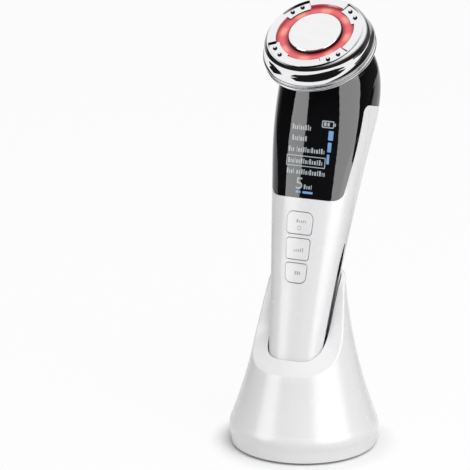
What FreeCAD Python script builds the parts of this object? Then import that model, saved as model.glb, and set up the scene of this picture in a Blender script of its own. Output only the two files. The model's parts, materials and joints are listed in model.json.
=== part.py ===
import FreeCAD, Part
import math
import os

from FreeCAD import Placement, Rotation, Vector

# Face massager standing in its charging dock. Sizes are in millimetres, angles in degrees.
# World frame: the table is Z = 0 under the middle of the dock, +Z is up and the display looks to -Y.
# The handset is drawn upright on its own bottom (its axis is Z, its front is -Y) and is leaned back
# into the dock when it is saved. Head pieces are drawn on the head's own axis, with the top of the
# light ring at height 0, and are tilted forward onto the handset.

# How the handset stands in the dock
lean_angle = 15.3
seat_height = 17.1
axis_cross_height = 79.9

# Handset body
handle_length = 143.0
bottom_half_width = 11.2
top_half_width = 25.3
bottom_half_depth = 7.75
top_half_depth = 19.2
flare_share = 0.4
front_ease = 2.0
back_swell = 4.4
width_ease = 1.4
swell_power = 6
handle_steps = 10
neck_steps = 4
section_power = 2.3
neck_power = 2.0
section_points = 24
front_pull_share = 1.0
front_end_pull_share = 0.6
back_pull_share = 1.85
back_end_pull_share = 1.4
width_start_pull = -0.5
width_end_pull = 8.0
shell_wall = 2.0
seam_gap = 0.16

# Head, placed from the bottom of the handset
head_tilt = 48.6
head_reach = 178.6
head_forward = 19.7
neck_drop = 11.7
neck_half_depth = 18.75
neck_half_width = 20.0
neck_slide = 4.2
neck_opening_radius = 11.3

# Line where the black hood meets the white shells, seen from the side
hood_front_height = 103.0
hood_corner_depth = 8.2
hood_side_depth = 4.3
hood_back_height = 149.0
hood_corner_radius = 5.0
hood_back_radius = 4.0

# Fits shared by several pieces
fit_gap = 0.1
running_gap = 0.05
overrun = 5.0
far = 120.0

# Buttons: one tapering column divided into three
button_count = 3
button_heights = (91.5, 79.45, 68.2)
button_lengths = (10.1, 9.65, 8.9)
column_top_half_width = 6.45
column_taper_share = 0.048
column_big_radius = 3.0
column_small_radius = 1.3
button_proud = 0.35
button_thickness = 1.5
button_gap = 0.35
button_flange = 0.7
button_flange_thickness = 0.8
stem_radius = 1.6

# Tact switches under the buttons
switch_size = 6.0
switch_height = 3.0
plunger_radius = 1.3
plunger_reach = 0.9
plunger_depth = 1.2
plunger_spare = 0.8

# Main board, chassis and their screws
board_front = 5.0
board_thickness = 1.2
board_bottom = 64.6
board_top = 146.0
board_bottom_half_width = 9.6
board_top_half_width = 17.0
chassis_thickness = 1.6
chassis_margin = 0.6
chassis_screw_places = ((8.2, 77.0), (12.4, 130.0))
chassis_boss_radius = 2.3
small_screw_radius = 0.8
small_head_radius = 1.6
small_head_height = 1.0
chassis_screw_length = 7.0

# Parts soldered to the main board, under the display
chip_size = 7.0
chip_height = 1.0
chip_height_on_board = 112.0
coil_radius = 3.2
coil_height = 4.0
coil_height_on_board = 126.0
plug_width = 8.0
plug_depth = 3.4
plug_length = 4.0
plug_height_on_board = 100.6

# Display and the holder behind it
display_bottom = 105.5
display_top = 141.5
display_half_width = 11.0
display_thickness = 1.5
display_clearance = 0.2
holder_wall = 1.6

# Vibration motor
motor_radius = 3.5
motor_length = 14.0
motor_bottom = 112.0
motor_depth = 2.4
motor_shaft_radius = 0.5
motor_shaft_length = 7.0
motor_shaft_seat = 3.0
weight_radius = 3.1
weight_length = 4.0
weight_hub_radius = 1.3
weight_stand_off = 1.6
cradle_wall = 1.2

# Battery and its foam pad
battery_bottom = 15.0
battery_length = 41.0
battery_half_width = 7.5
battery_half_depth = 4.0
battery_edge = 1.2
pad_half_width = 5.0
pad_margin = 4.0

# Screws that draw the two shells together
shell_screw_heights = (10.0, 59.3)
shell_boss_radius = 2.2
shell_boss_meet = 0.6
shell_screw_radius = 0.9
shell_screw_head_radius = 1.5
shell_screw_head_height = 1.2
shell_screw_sink = 1.6
shell_screw_reach = 4.2

# Conductive strips let into the side seam
strip_bottom = 12.0
strip_top = 84.0
strip_half_depth = 1.5
strip_tip_length = 9.0
strip_thickness = 1.1

# Charge contacts in the bottom of the handset
contact_spread = 4.5
contact_back = 3.0
contact_radius = 2.0
contact_thickness = 0.9
contact_tail_radius = 0.9
contact_tail_length = 3.6

# Head bezel, heights from the top of the light ring
bezel_top_height = 1.5
bezel_flat_radius = 22.4
bezel_rim_radius = 22.8
bezel_rim_drop = 0.8
bezel_seam_depth = 0.6
shoulder_radius = 25.0
shoulder_drop = 3.4
shoulder_bulge = 0.55
cove_depth = 0.35
bezel_waist_radius = 26.2
bezel_waist_drop = 7.2
bezel_band_height = 1.3
bezel_band_bulge = 0.35
groove_radius = 25.1
groove_height = 0.9
lip_radius = 26.5
lip_drop = 11.5
lip_under_radius = 25.6
bezel_opening_radius = 18.4
bezel_plate_under = 1.0
bezel_cavity_radius = 24.2
bezel_corner = 2.2

# Electrodes let into the bezel
electrode_angles = (45.0, 135.0, 225.0, 315.0)
electrode_width = 36.0
electrode_inner_radius = 16.9
electrode_outer_radius = 21.9
electrode_top_height = 0.65
electrode_lift = 0.06
electrode_gap = 0.3
nub_radius = 1.1
nub_rise = 1.0
nub_angle = 7.5
nub_place_radius = 19.7
post_radius = 0.55
post_place_radius = 20.6
post_length = 3.4

# Light ring, plate, thermoelectric module and heat sink
ring_inner_radius = 12.95
ring_height = 5.4
ring_flange_radius = 19.8
ring_flange_height = 1.3
plate_radius = 12.5
plate_top_height = 1.7
plate_dome = 0.35
plate_edge = 0.7
plate_boss_radius = 10.6
plate_rim_under = 0.5
plate_under = 1.8
seal_bottom = 1.7
module_size = 15.0
module_height = 3.2
sink_radius = 11.4
sink_base_height = 1.6
sink_fin_thickness = 1.2
sink_fin_count = 7
head_floor_top = 9.8
head_floor_bottom = 11.6

# Lights under the ring and the board that carries them
led_board_top = 6.3
led_board_thickness = 1.0
led_board_inner_radius = 12.4
led_board_outer_radius = 21.0
led_count = 8
led_size = 2.8
led_height = 0.7
led_place_radius = 15.7

# Plastic base of the head
head_base_radius = 24.1
head_base_wall_inner = 21.3
head_ledge_inner = 19.6
head_screw_angles = (0.0, 100.0, 260.0)
head_screw_place_radius = 14.0
head_boss_radius = 1.9
head_screw_length = 5.2

# Dock body
dock_base_height = 1.2
dock_base_radius = 34.3
dock_belt_height = 10.0
dock_belt_radius = 35.3
dock_belt_round = 3.6
dock_belt_under = 0.4
dock_belt_over = 1.1
dock_waist_height = 50.0
dock_waist_radius = 23.7
dock_top_height = 88.0
dock_top_radius = 18.7
dock_wall = 2.2
rim_front_height = 40.2
rim_back_height = 84.0
rim_front_slope = 42.0
rim_back_slope = 15.0
rim_angles = (0, 25, 45, 58, 68, 76, 84, 92, 101, 115, 140, 180)
rim_rise_shares = (0, 0.006, 0.055, 0.13, 0.24, 0.40, 0.61, 0.80, 0.945, 1, 1, 1)
rim_reach_out = 4.0
rim_reach_in = 16.0
rim_wall_share = 2.4
rim_fillet = 1.0
socket_clearance = 0.6
socket_floor_gap = 0.06
cup_wall = 2.0
cup_floor = 2.2

# Base plate, feet, ballast and screws of the dock
base_plate_height = 2.4
base_plate_radius = 31.9
foot_radius = 4.2
foot_sink = 0.8
foot_place_radius = 26.9
foot_count = 4
foot_edge = 0.5
dock_screw_place_radius = 28.6
dock_boss_radius = 2.4
dock_boss_top = 30.0
dock_screw_radius = 1.0
dock_head_radius = 1.9
dock_head_height = 1.2
dock_head_sink = 1.5
dock_screw_length = 8.0
ballast_radius = 24.5
ballast_height = 3.0

# Spring pins in the floor of the dock's cup
pin_radius = 0.75
pin_tip_fillet = 0.4
pin_foot_radius = 1.02
pin_foot_height = 0.6
pin_foot_drop = 1.7
pin_contact_gap = 0.06
barrel_radius = 1.5
barrel_bore_radius = 1.12
barrel_top = 0.9
barrel_roof = 0.7
barrel_floor = 0.5
contact_board_top = 6.8
contact_board_thickness = 1.2
contact_board_half_width = 11.5
contact_board_half_depth = 5.0
contact_boss_spread = 9.2
contact_boss_radius = 1.9
contact_screw_length = 3.6
spring_radius = 0.78
spring_wire_radius = 0.13
spring_turns = 7

# Charging inlet at the back of the dock
inlet_board_bottom = 7.0
inlet_board_thickness = 1.2
inlet_board_half_width = 11.0
inlet_board_front = 20.5
inlet_board_back = 31.3
inlet_boss_spread = 8.4
inlet_boss_place = 28.9
inlet_boss_radius = 1.6
inlet_half_width = 4.47
inlet_height = 3.26
inlet_front = 27.2
inlet_mouth = 34.7
inlet_wall = 0.3
inlet_back_wall = 0.8
inlet_tongue_half_width = 3.3
inlet_tongue_height = 0.7
inlet_tongue_set_back = 0.8
inlet_hole_gap = 0.35

# Wiring: routes run from one soldered end to the other
lead_radius = 0.55
arc_run_share = 0.45
battery_lead_route = ((3.3, 0.0, 56.2), (3.3, -0.5, 58.3), (4.4, -5.4, 61.3), (6.0, -5.7, 65.2),
                      (6.0, -5.65, 68.2))
dock_lead_route = ((3.2, 23.6, 8.85), (3.2, 19.6, 8.85), (3.0, 13.6, 7.65), (2.6, 3.0, 7.6), (2.4, -8.0, 7.45),
                   (2.2, -16.4, 7.45))
ribbon_half_width = 3.0
ribbon_thickness = 0.3
ribbon_board_gap = 0.2
ribbon_start = 142.4
ribbon_turn = 147.0
ribbon_rise = 158.0
ribbon_rise_depth = 3.0
ribbon_bend = 170.0
ribbon_bend_depth = 1.2
ribbon_place_radius = 13.7
ribbon_slot_half = 0.7

zero = Vector(0, 0, 0)
along_x = Vector(1, 0, 0)
along_y = Vector(0, 1, 0)
along_z = Vector(0, 0, 1)

seat_y = -(axis_cross_height - seat_height) * math.tan(math.radians(lean_angle))
handset_place = Placement(Vector(0, seat_y, seat_height), Rotation(along_x, -lean_angle))
head_on_handset = Placement(Vector(0, -head_forward, head_reach), Rotation(along_x, head_tilt))
head_place = handset_place.multiply(head_on_handset)
world_place = Placement()

os.makedirs("parts", exist_ok=True)


def placed(shape, place):
    """The shape carried by a placement."""
    moved = shape.copy()
    moved.Placement = place.multiply(shape.Placement)
    return moved


def save(node, solids, place):
    """Write one node; identical pieces are kept as separate solids of the same node."""
    if len(solids) == 1:
        shape = solids[0]
    else:
        shape = Part.makeCompound(solids)
    placed(shape, place).exportStep("parts/" + node + ".step")


def on_side(first, second):
    """A point of the side view: depth along Y and height along Z."""
    return Vector(0, first, second)


def on_front(first, second):
    """A point of the front view: width along X and height along Z."""
    return Vector(first, 0, second)


def on_plan(first, second):
    """A point of the plan view: width along X and depth along Y."""
    return Vector(first, second, 0)


def outline(corners, radii, view):
    """A closed outline with its corners rounded by tangent arcs."""
    edges = []
    count = len(corners)
    starts = []
    ends = []
    middles = []
    for index in range(count):
        corner = view(*corners[index])
        before = (view(*corners[index - 1]) - corner).normalize()
        after = (view(*corners[(index + 1) % count]) - corner).normalize()
        half = before.getAngle(after) / 2
        radius = radii[index]
        reach = radius / math.tan(half)
        bisector = (before + after).normalize()
        starts.append(corner + before * reach)
        ends.append(corner + after * reach)
        middles.append(corner + bisector * (radius / math.sin(half) - radius))
    for index in range(count):
        if radii[index] > 0:
            edges.append(Part.Arc(starts[index], middles[index], ends[index]).toShape())
        edges.append(Part.LineSegment(ends[index], starts[(index + 1) % count]).toShape())
    return Part.Wire(Part.__sortEdges__(edges))


def prism(wire, start, reach):
    """The outline moved to its start and pushed along the reach."""
    flat = Part.Face(wire)
    flat.translate(start)
    return flat.extrude(reach)


def slab(low, high):
    """A box between two opposite corners."""
    size = high - low
    return Part.makeBox(size.x, size.y, size.z, low)


def turned(points, arcs):
    """A profile of radius and height points turned round Z; an arc passes through its own middle point."""
    edges = []
    for index in range(len(points)):
        start = on_front(*points[index])
        end = on_front(*points[(index + 1) % len(points)])
        if index in arcs:
            edges.append(Part.Arc(start, on_front(*arcs[index]), end).toShape())
        else:
            edges.append(Part.LineSegment(start, end).toShape())
    return Part.Face(Part.Wire(edges)).revolve(zero, along_z, 360)


def tube(inner, outer, low, high):
    """A plain ring round Z."""
    body = Part.makeCylinder(outer, high - low, Vector(0, 0, low))
    return body.cut(Part.makeCylinder(inner, high - low + 2 * overrun, Vector(0, 0, low - overrun)))


def sector(inner, outer, middle, width, low, high):
    """A block between two radii, turned by its width about the middle angle; 0 looks to the front."""
    ring = tube(inner, outer, low, high)
    wedge_radius = 2 * outer
    start = Vector(0, -wedge_radius, 0)
    half = width / 2
    first = Rotation(along_z, middle - half).multVec(start)
    second = Rotation(along_z, middle + half).multVec(start)
    wedge = Part.Face(Part.makePolygon([zero, first, second, zero]))
    wedge.translate(Vector(0, 0, low - overrun))
    return ring.common(wedge.extrude(Vector(0, 0, high - low + 2 * overrun)))


def at_angles(shape, middle, angles):
    """Copies of a shape turned to each of some angles round an upright line."""
    copies = []
    for angle in angles:
        copy = shape.copy()
        copy.rotate(middle, along_z, angle)
        copies.append(copy)
    return copies


def around(shape, count, first_angle):
    """Copies of a shape spaced evenly round Z."""
    copies = []
    for index in range(count):
        copy = shape.copy()
        copy.rotate(zero, along_z, first_angle + 360 * index / count)
        copies.append(copy)
    return copies


def screw(head_radius, head_height, shank_radius, length, slot_depth):
    """A screw that points down Z with the seat of its head at height 0."""
    body = Part.makeCylinder(head_radius, head_height)
    shank = Part.makeCylinder(shank_radius, length, Vector(0, 0, -length))
    slot_long = Part.makeBox(head_radius, shank_radius / 2, slot_depth)
    slot_long.translate(Vector(-head_radius / 2, -shank_radius / 4, head_height - slot_depth))
    slot_cross = slot_long.copy()
    slot_cross.rotate(zero, along_z, 90)
    return body.fuse(shank).cut(slot_long).cut(slot_cross).removeSplitter()


def bent_path(points):
    """Straight runs joined by tangent arcs, each arc as large as its two runs allow."""
    edges = []
    last = points[0]
    radii = []
    for index in range(1, len(points) - 1):
        corner = points[index]
        before = points[index - 1] - corner
        after = points[index + 1] - corner
        reach = min(before.Length, after.Length) * arc_run_share
        before.normalize()
        after.normalize()
        half = before.getAngle(after) / 2
        radius = reach * math.tan(half)
        bisector = (before + after).normalize()
        middle = corner + bisector * (radius / math.sin(half) - radius)
        edges.append(Part.LineSegment(last, corner + before * reach).toShape())
        last = corner + after * reach
        edges.append(Part.Arc(corner + before * reach, middle, last).toShape())
        radii.append(round(radius, 1))
    edges.append(Part.LineSegment(last, points[-1]).toShape())
    print("bend radii", radii)
    return Part.Wire(edges)


def lead(route, side):
    """A round wire along a route, mirrored by its side."""
    points = [Vector(side * x, y, z) for x, y, z in route]
    path = bent_path(points)
    ring = Part.Wire(Part.makeCircle(lead_radius, points[0], points[1] - points[0]))
    wire = path.makePipeShell([ring], True, True)
    print("lead volume by section", round(wire.Volume / (math.pi * lead_radius ** 2 * path.Length), 4))
    return wire


# Form of the handset body

def grown(start, end, share):
    """A size that grows along the handle, faster towards the head."""
    return start + (end - start) * ((1 - flare_share) * share + flare_share * share ** 2)


def eased(start, end, start_pull, end_pull, share):
    """A cubic from start to end that leaves and arrives along the given pulls."""
    square = share ** 2
    cube = share ** 3
    first = start * (2 * cube - 3 * square + 1) + start_pull * (cube - 2 * square + share)
    return first + end * (3 * square - 2 * cube) + end_pull * (cube - square)


def section(front, back, half_width, power, inset, lift):
    """One closed cross-section, in the plane that holds its front and back points and the X direction."""
    middle = (front + back) / 2
    across = back - front
    half_depth = across.Length / 2 - inset
    half_width = half_width - inset
    across.normalize()
    upward = Vector(0, -across.z, across.y)
    points = []
    for index in range(section_points):
        angle = math.pi / 2 + 2 * math.pi * index / section_points
        wide = abs(math.cos(angle)) / half_width
        deep = abs(math.sin(angle)) / half_depth
        radius = (wide ** power + deep ** power) ** (-1 / power)
        point = middle + upward * lift + across * (radius * math.sin(angle))
        points.append(point + along_x * (radius * math.cos(angle)))
    curve = Part.BSplineCurve()
    curve.interpolate(Points=points, PeriodicFlag=True)
    return Part.Wire(curve.toShape())


def front_depth(share):
    """How far the front of the handle stands from its axis: it straightens towards the head."""
    return grown(bottom_half_depth, top_half_depth, share) - front_ease * share ** swell_power


def back_depth(share):
    """How far the back of the handle stands from its axis: it swells towards the head."""
    return grown(bottom_half_depth, top_half_depth, share) + back_swell * share ** swell_power


def width_at(share):
    """Half the width of the handle."""
    return grown(bottom_half_width, top_half_width, share) - width_ease * share ** swell_power


def handle_section(share, inset, lift):
    """A level cross-section of the handle."""
    height = handle_length * share
    return section(on_side(-front_depth(share), height), on_side(back_depth(share), height), width_at(share),
                   section_power, inset, lift)


def neck_section(share, inset, lift):
    """A cross-section between the top of the handle and the ring under the head."""
    tilt = math.radians(head_tilt)
    head_axis = on_side(-math.sin(tilt), math.cos(tilt))
    slope = on_side(math.cos(tilt), math.sin(tilt))
    middle = on_side(-head_forward, head_reach) - head_axis * neck_drop + slope * neck_slide
    front_start = on_side(-front_depth(1), handle_length)
    back_start = on_side(back_depth(1), handle_length)
    front_end = middle - slope * neck_half_depth
    back_end = middle + slope * neck_half_depth
    widening = (top_half_depth - bottom_half_depth) * (1 + flare_share) / handle_length
    front_widening = widening - front_ease * swell_power / handle_length
    back_widening = widening + back_swell * swell_power / handle_length
    front_span = (front_end - front_start).Length
    back_span = (back_end - back_start).Length
    front = eased(front_start, front_end, on_side(-front_widening, 1) * (front_span * front_pull_share),
                  head_axis * (front_span * front_end_pull_share), share)
    back = eased(back_start, back_end, on_side(back_widening, 1) * (back_span * back_pull_share),
                 head_axis * (back_span * back_end_pull_share), share)
    half_width = eased(width_at(1), neck_half_width, width_start_pull, -width_end_pull, share)
    power = section_power + (neck_power - section_power) * share
    return section(front, back, half_width, power, inset, lift)


def body_form(inset):
    """The whole handset body, moved inward by the inset on every side and at both ends."""
    wires = [handle_section(0, inset, inset)]
    for step in range(1, handle_steps):
        wires.append(handle_section(step / handle_steps, inset, 0))
    for step in range(1, neck_steps):
        wires.append(neck_section(step / neck_steps, inset, 0))
    wires.append(neck_section(1, inset, -inset))
    return Part.makeLoft(wires, True, False)


def handle_form(inset, end_inset):
    """The straight handle only, with its own inset at the bottom."""
    wires = [handle_section(0, inset, end_inset)]
    for step in range(1, handle_steps + 1):
        wires.append(handle_section(step / handle_steps, inset, 0))
    return Part.makeLoft(wires, True, False)


def surface_depth(height, across, inset):
    """How far the handle's front surface stands from its axis at a height and a distance to one side."""
    share = height / handle_length
    half_width = width_at(share) - inset
    half_depth = (front_depth(share) + back_depth(share)) / 2 - inset
    middle = (back_depth(share) - front_depth(share)) / 2
    return half_depth * (1 - (abs(across) / half_width) ** section_power) ** (1 / section_power) - middle


# Outer body, hood and shells

body = body_form(0)
cavity = body_form(shell_wall)
skin = body.cut(cavity)

part_line = [(-far, hood_front_height), (-hood_corner_depth, hood_front_height),
             (-hood_side_depth, hood_back_height), (far, hood_back_height), (far, -far), (-far, -far)]
part_radii = [0, hood_corner_radius, hood_back_radius, 0, 0, 0]
white_outline = outline(part_line, part_radii, on_side)
white_region = prism(white_outline, Vector(-far, 0, 0), Vector(2 * far, 0, 0))
hood_cut = prism(white_outline.makeOffset2D(seam_gap), Vector(-far, 0, 0), Vector(2 * far, 0, 0))

hood = skin.cut(hood_cut)
white = skin.common(white_region)
front_half = slab(Vector(-far, -far, -far), Vector(far, -seam_gap / 2, 2 * far))
back_half = slab(Vector(-far, seam_gap / 2, -far), Vector(far, far, 2 * far))
front_shell = white.common(front_half)
back_shell = white.common(back_half)

# Side strips: a slice of the outer skin with tapered tips, let into both shells at the seam

strip_layer = body.cut(body_form(strip_thickness))
pocket_layer = body_form(-fit_gap).cut(body_form(strip_thickness + fit_gap))


def strip_region(gap):
    """The strip as seen from the side, grown by a gap."""
    half = strip_half_depth + gap
    low = strip_bottom - gap
    high = strip_top + gap
    corners = [(-half, low), (half, low), (half, high - strip_tip_length), (half / 4, high),
               (-half / 4, high), (-half, high - strip_tip_length)]
    radii = [half / 2, half / 2, strip_tip_length, 0, 0, strip_tip_length]
    return prism(outline(corners, radii, on_side), zero, Vector(far, 0, 0))


strip_right = strip_layer.common(strip_region(0))
strip_left = strip_right.mirror(zero, along_x)
pocket_right = pocket_layer.common(strip_region(fit_gap))
pocket_left = pocket_right.mirror(zero, along_x)
front_shell = front_shell.cut(pocket_right).cut(pocket_left)
back_shell = back_shell.cut(pocket_right).cut(pocket_left)

# Buttons, their switches and the holes they pass

column_top = button_heights[0] + button_lengths[0] / 2
board_front_y = -board_front
switch_face = -(board_front + switch_height)
plunger_face = switch_face - plunger_reach
button_layer = body_form(-button_proud).cut(body_form(button_thickness))
flange_layer = body_form(shell_wall + fit_gap).cut(body_form(shell_wall + fit_gap + button_flange_thickness))
buttons = []
plungers = []
switches = []


def button_prism(index, grow, back):
    """The block of one button seen from the front, grown all round, from the front back to a depth."""
    middle = button_heights[index]
    low = middle - button_lengths[index] / 2
    high = middle + button_lengths[index] / 2
    low_half = column_top_half_width - (column_top - low) * column_taper_share
    high_half = column_top_half_width - (column_top - high) * column_taper_share
    corners = [(-low_half - grow, low - grow), (low_half + grow, low - grow),
               (high_half + grow, high + grow), (-high_half - grow, high + grow)]
    top_radius = column_big_radius if index == 0 else column_small_radius
    low_radius = column_big_radius if index == button_count - 1 else column_small_radius
    radii = [low_radius + grow, low_radius + grow, top_radius + grow, top_radius + grow]
    return prism(outline(corners, radii, on_front), Vector(0, back, 0), Vector(0, -far, 0))


for index in range(button_count):
    height = button_heights[index]
    cap = button_layer.common(button_prism(index, 0, 0))
    flange = flange_layer.common(button_prism(index, button_flange, 0))
    skirt = body_form(0).cut(body_form(shell_wall + fit_gap + button_flange_thickness))
    skirt = skirt.common(button_prism(index, -column_small_radius / 2, 0))
    stem_start = -surface_depth(height, 0, shell_wall / 2)
    stem = Part.makeCylinder(stem_radius, plunger_face - stem_start, Vector(0, stem_start, height), along_y)
    buttons.append(cap.fuse(skirt).fuse(flange).fuse(stem).removeSplitter())
    front_shell = front_shell.cut(button_prism(index, button_gap, 0))
    low = Vector(-switch_size / 2, switch_face, height - switch_size / 2)
    high = Vector(switch_size / 2, board_front_y, height + switch_size / 2)
    hole_length = plunger_depth + plunger_spare
    hole = Part.makeCylinder(plunger_radius + fit_gap, hole_length + overrun,
                             Vector(0, switch_face - overrun, height), along_y)
    switches.append(slab(low, high).cut(hole))
    plungers.append(Part.makeCylinder(plunger_radius, plunger_reach + plunger_depth,
                                      Vector(0, plunger_face, height), along_y))

# Shell screws and the bosses that meet between the shells

boss_room = body_form(shell_wall / 2)
shell_screws = []
for height in shell_screw_heights:
    meet = Vector(0, shell_boss_meet, height)
    front_boss = Part.makeCylinder(shell_boss_radius, far, meet - along_y * fit_gap / 2, -along_y)
    back_boss = Part.makeCylinder(shell_boss_radius, far, meet + along_y * fit_gap / 2, along_y)
    front_shell = front_shell.fuse(front_boss.common(boss_room))
    back_shell = back_shell.fuse(back_boss.common(boss_room))
    head_seat = surface_depth(height, 0, 0) - shell_screw_sink - shell_screw_head_height
    turn = Placement(Vector(0, head_seat, height), Rotation(along_x, -90))
    length = head_seat - shell_boss_meet + shell_screw_reach
    one = screw(shell_screw_head_radius, shell_screw_head_height, shell_screw_radius, length,
                shell_screw_head_height / 2)
    shell_screws.append(placed(one, turn))
    pilot = Part.makeCylinder(shell_screw_radius + running_gap, length + fit_gap + overrun,
                              Vector(0, head_seat + overrun, height), -along_y)
    well = Part.makeCylinder(shell_screw_head_radius + fit_gap, far, Vector(0, head_seat, height), along_y)
    front_shell = front_shell.cut(pilot)
    back_shell = back_shell.cut(pilot).cut(well)

# Charge contacts in the bottom wall

contacts = []
for side in (-1, 1):
    spot = Vector(side * contact_spread, contact_back, 0)
    disc = Part.makeCylinder(contact_radius, contact_thickness, spot)
    tail = Part.makeCylinder(contact_tail_radius, contact_tail_length, spot)
    contacts.append(disc.fuse(tail).removeSplitter())
    seat = Part.makeCylinder(contact_radius + running_gap, contact_thickness + overrun + running_gap,
                             spot - along_z * overrun)
    way = Part.makeCylinder(contact_tail_radius + running_gap, contact_tail_length + overrun, spot)
    back_shell = back_shell.cut(seat).cut(way)

# Chassis with the motor cradle, carried on bosses of the back shell

chassis_front = -board_front + board_thickness
chassis_back = chassis_front + chassis_thickness


def board_outline(margin):
    """The tapering outline shared by the main board and the chassis."""
    corners = [(-board_bottom_half_width - margin, board_bottom),
               (board_bottom_half_width + margin, board_bottom),
               (board_top_half_width + margin, board_top), (-board_top_half_width - margin, board_top)]
    return outline(corners, [stem_radius] * len(corners), on_front)


main_board = prism(board_outline(0), Vector(0, board_front_y, 0), Vector(0, board_thickness, 0))
chassis = prism(board_outline(chassis_margin), Vector(0, chassis_front, 0), Vector(0, chassis_thickness, 0))
cradle_half = motor_radius + cradle_wall
cradle_low = Vector(-cradle_half, chassis_back - chassis_thickness / 2, motor_bottom)
cradle_high = Vector(cradle_half, motor_depth + motor_radius / 2, motor_bottom + motor_length)
cradle_bore = Part.makeCylinder(motor_radius + running_gap, motor_length + 2 * overrun,
                                Vector(0, motor_depth, motor_bottom - overrun))
cradle_mouth = slab(Vector(-motor_radius, motor_depth, motor_bottom - overrun),
                    Vector(motor_radius, far, motor_bottom + motor_length + overrun))
cradle = slab(cradle_low, cradle_high).cut(cradle_bore).cut(cradle_mouth)
chassis = chassis.fuse(cradle).removeSplitter()
chassis_screws = []
for across, height in chassis_screw_places:
    for side in (-1, 1):
        spot = Vector(side * across, chassis_back, height)
        boss = Part.makeCylinder(chassis_boss_radius, far, spot, along_y)
        back_shell = back_shell.fuse(boss.common(boss_room))
        head_spot = Vector(side * across, board_front_y, height)
        one = screw(small_head_radius, small_head_height, small_screw_radius, chassis_screw_length,
                    small_head_height / 2)
        chassis_screws.append(placed(one, Placement(head_spot, Rotation(along_x, 90))))
        hole = Part.makeCylinder(small_screw_radius + running_gap, chassis_screw_length + fit_gap,
                                 head_spot, along_y)
        main_board = main_board.cut(hole)
        chassis = chassis.cut(hole)
        back_shell = back_shell.cut(hole)

# Parts on the main board

chip_low = Vector(-chip_size / 2, board_front_y - chip_height, chip_height_on_board)
chip = slab(chip_low, chip_low + Vector(chip_size, chip_height, chip_size))
coil = Part.makeCylinder(coil_radius, coil_height, Vector(0, board_front_y, coil_height_on_board), -along_y)
plug_low = Vector(-plug_width / 2, board_front_y - plug_depth, plug_height_on_board)
plug = slab(plug_low, plug_low + Vector(plug_width, plug_depth, plug_length))

# Display and holder

low_depth = surface_depth(display_bottom, display_half_width, shell_wall) - display_clearance
high_depth = surface_depth(display_top, display_half_width, shell_wall) - display_clearance
low_back = low_depth - display_thickness
high_back = high_depth - display_thickness
display_side = outline([(-low_depth, display_bottom), (-high_depth, display_top), (-high_back, display_top),
                        (-low_back, display_bottom)], [0, 0, 0, 0], on_side)
display_start = Vector(-display_half_width, 0, 0)
display = prism(display_side, display_start, along_x * display_half_width * 2)
holder_side = outline([(-low_back, display_bottom), (-high_back, display_top), (board_front_y, display_top),
                       (board_front_y, display_bottom)], [0, 0, 0, 0], on_side)
holder = prism(holder_side, display_start, along_x * display_half_width * 2)
holder_window = slab(Vector(-display_half_width + holder_wall, -far, display_bottom + holder_wall),
                     Vector(display_half_width - holder_wall, far, display_top - holder_wall))
holder = holder.cut(holder_window)
for across, height in chassis_screw_places:
    for side in (-1, 1):
        room = Part.makeCylinder(small_head_radius + fit_gap, small_head_height + fit_gap,
                                 Vector(side * across, board_front_y, height), -along_y)
        holder = holder.cut(room)

# Vibration motor, its shaft and its weight

motor = Part.makeCylinder(motor_radius, motor_length, Vector(0, motor_depth, motor_bottom))
motor_top = motor_bottom + motor_length
shaft_low = Vector(0, motor_depth, motor_top - motor_shaft_seat)
motor = motor.cut(Part.makeCylinder(motor_shaft_radius + running_gap, motor_shaft_seat + overrun,
                                    shaft_low - along_z * fit_gap))
motor_shaft = Part.makeCylinder(motor_shaft_radius, motor_shaft_length + motor_shaft_seat, shaft_low)
weight_low = Vector(0, motor_depth, motor_top + weight_stand_off)
weight = Part.makeCylinder(weight_radius, weight_length, weight_low, along_z, 180)
weight = weight.fuse(Part.makeCylinder(weight_hub_radius, weight_length, weight_low))
weight = weight.cut(Part.makeCylinder(motor_shaft_radius, weight_length + 2 * overrun,
                                      weight_low - along_z * overrun)).removeSplitter()

# Battery and its pad

battery_low = Vector(-battery_half_width, -battery_half_depth, battery_bottom)
battery_size = Vector(2 * battery_half_width, 2 * battery_half_depth, battery_length)
battery = slab(battery_low, battery_low + battery_size)
battery = battery.makeFillet(battery_edge, battery.Edges)
pad_low = Vector(-pad_half_width, battery_half_depth, battery_bottom + pad_margin)
pad_high = Vector(pad_half_width, far, battery_bottom + battery_length - pad_margin)
pad = slab(pad_low, pad_high).common(body_form(shell_wall + running_gap))

# Head bezel

waist = -bezel_waist_drop
band = waist - bezel_band_height
groove_low = band - groove_height
rim_low = bezel_top_height - bezel_rim_drop
seam_bottom = rim_low - bezel_seam_depth
shoulder_middle = ((bezel_rim_radius + shoulder_radius) / 2 + shoulder_bulge, (rim_low - shoulder_drop) / 2)
cove_middle = ((shoulder_radius + bezel_waist_radius) / 2 - cove_depth, (waist - shoulder_drop) / 2)
band_middle = (bezel_waist_radius + bezel_band_bulge, (waist + band) / 2)
lip_middle = (lip_radius, (groove_low - lip_drop) / 2)
bezel_points = [(bezel_opening_radius, bezel_top_height), (bezel_flat_radius, bezel_top_height),
                (bezel_flat_radius, seam_bottom), (bezel_rim_radius, seam_bottom), (bezel_rim_radius, rim_low),
                (shoulder_radius, -shoulder_drop), (bezel_waist_radius, waist), (bezel_waist_radius, band),
                (groove_radius, band), (groove_radius, groove_low), (lip_under_radius, groove_low),
                (lip_under_radius, -lip_drop), (bezel_cavity_radius, -lip_drop),
                (bezel_cavity_radius, -bezel_plate_under - bezel_corner),
                (bezel_cavity_radius - bezel_corner, -bezel_plate_under),
                (bezel_opening_radius, -bezel_plate_under)]
bezel = turned(bezel_points, {4: shoulder_middle, 5: cove_middle, 6: band_middle, 10: lip_middle})
electrodes = []
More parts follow.
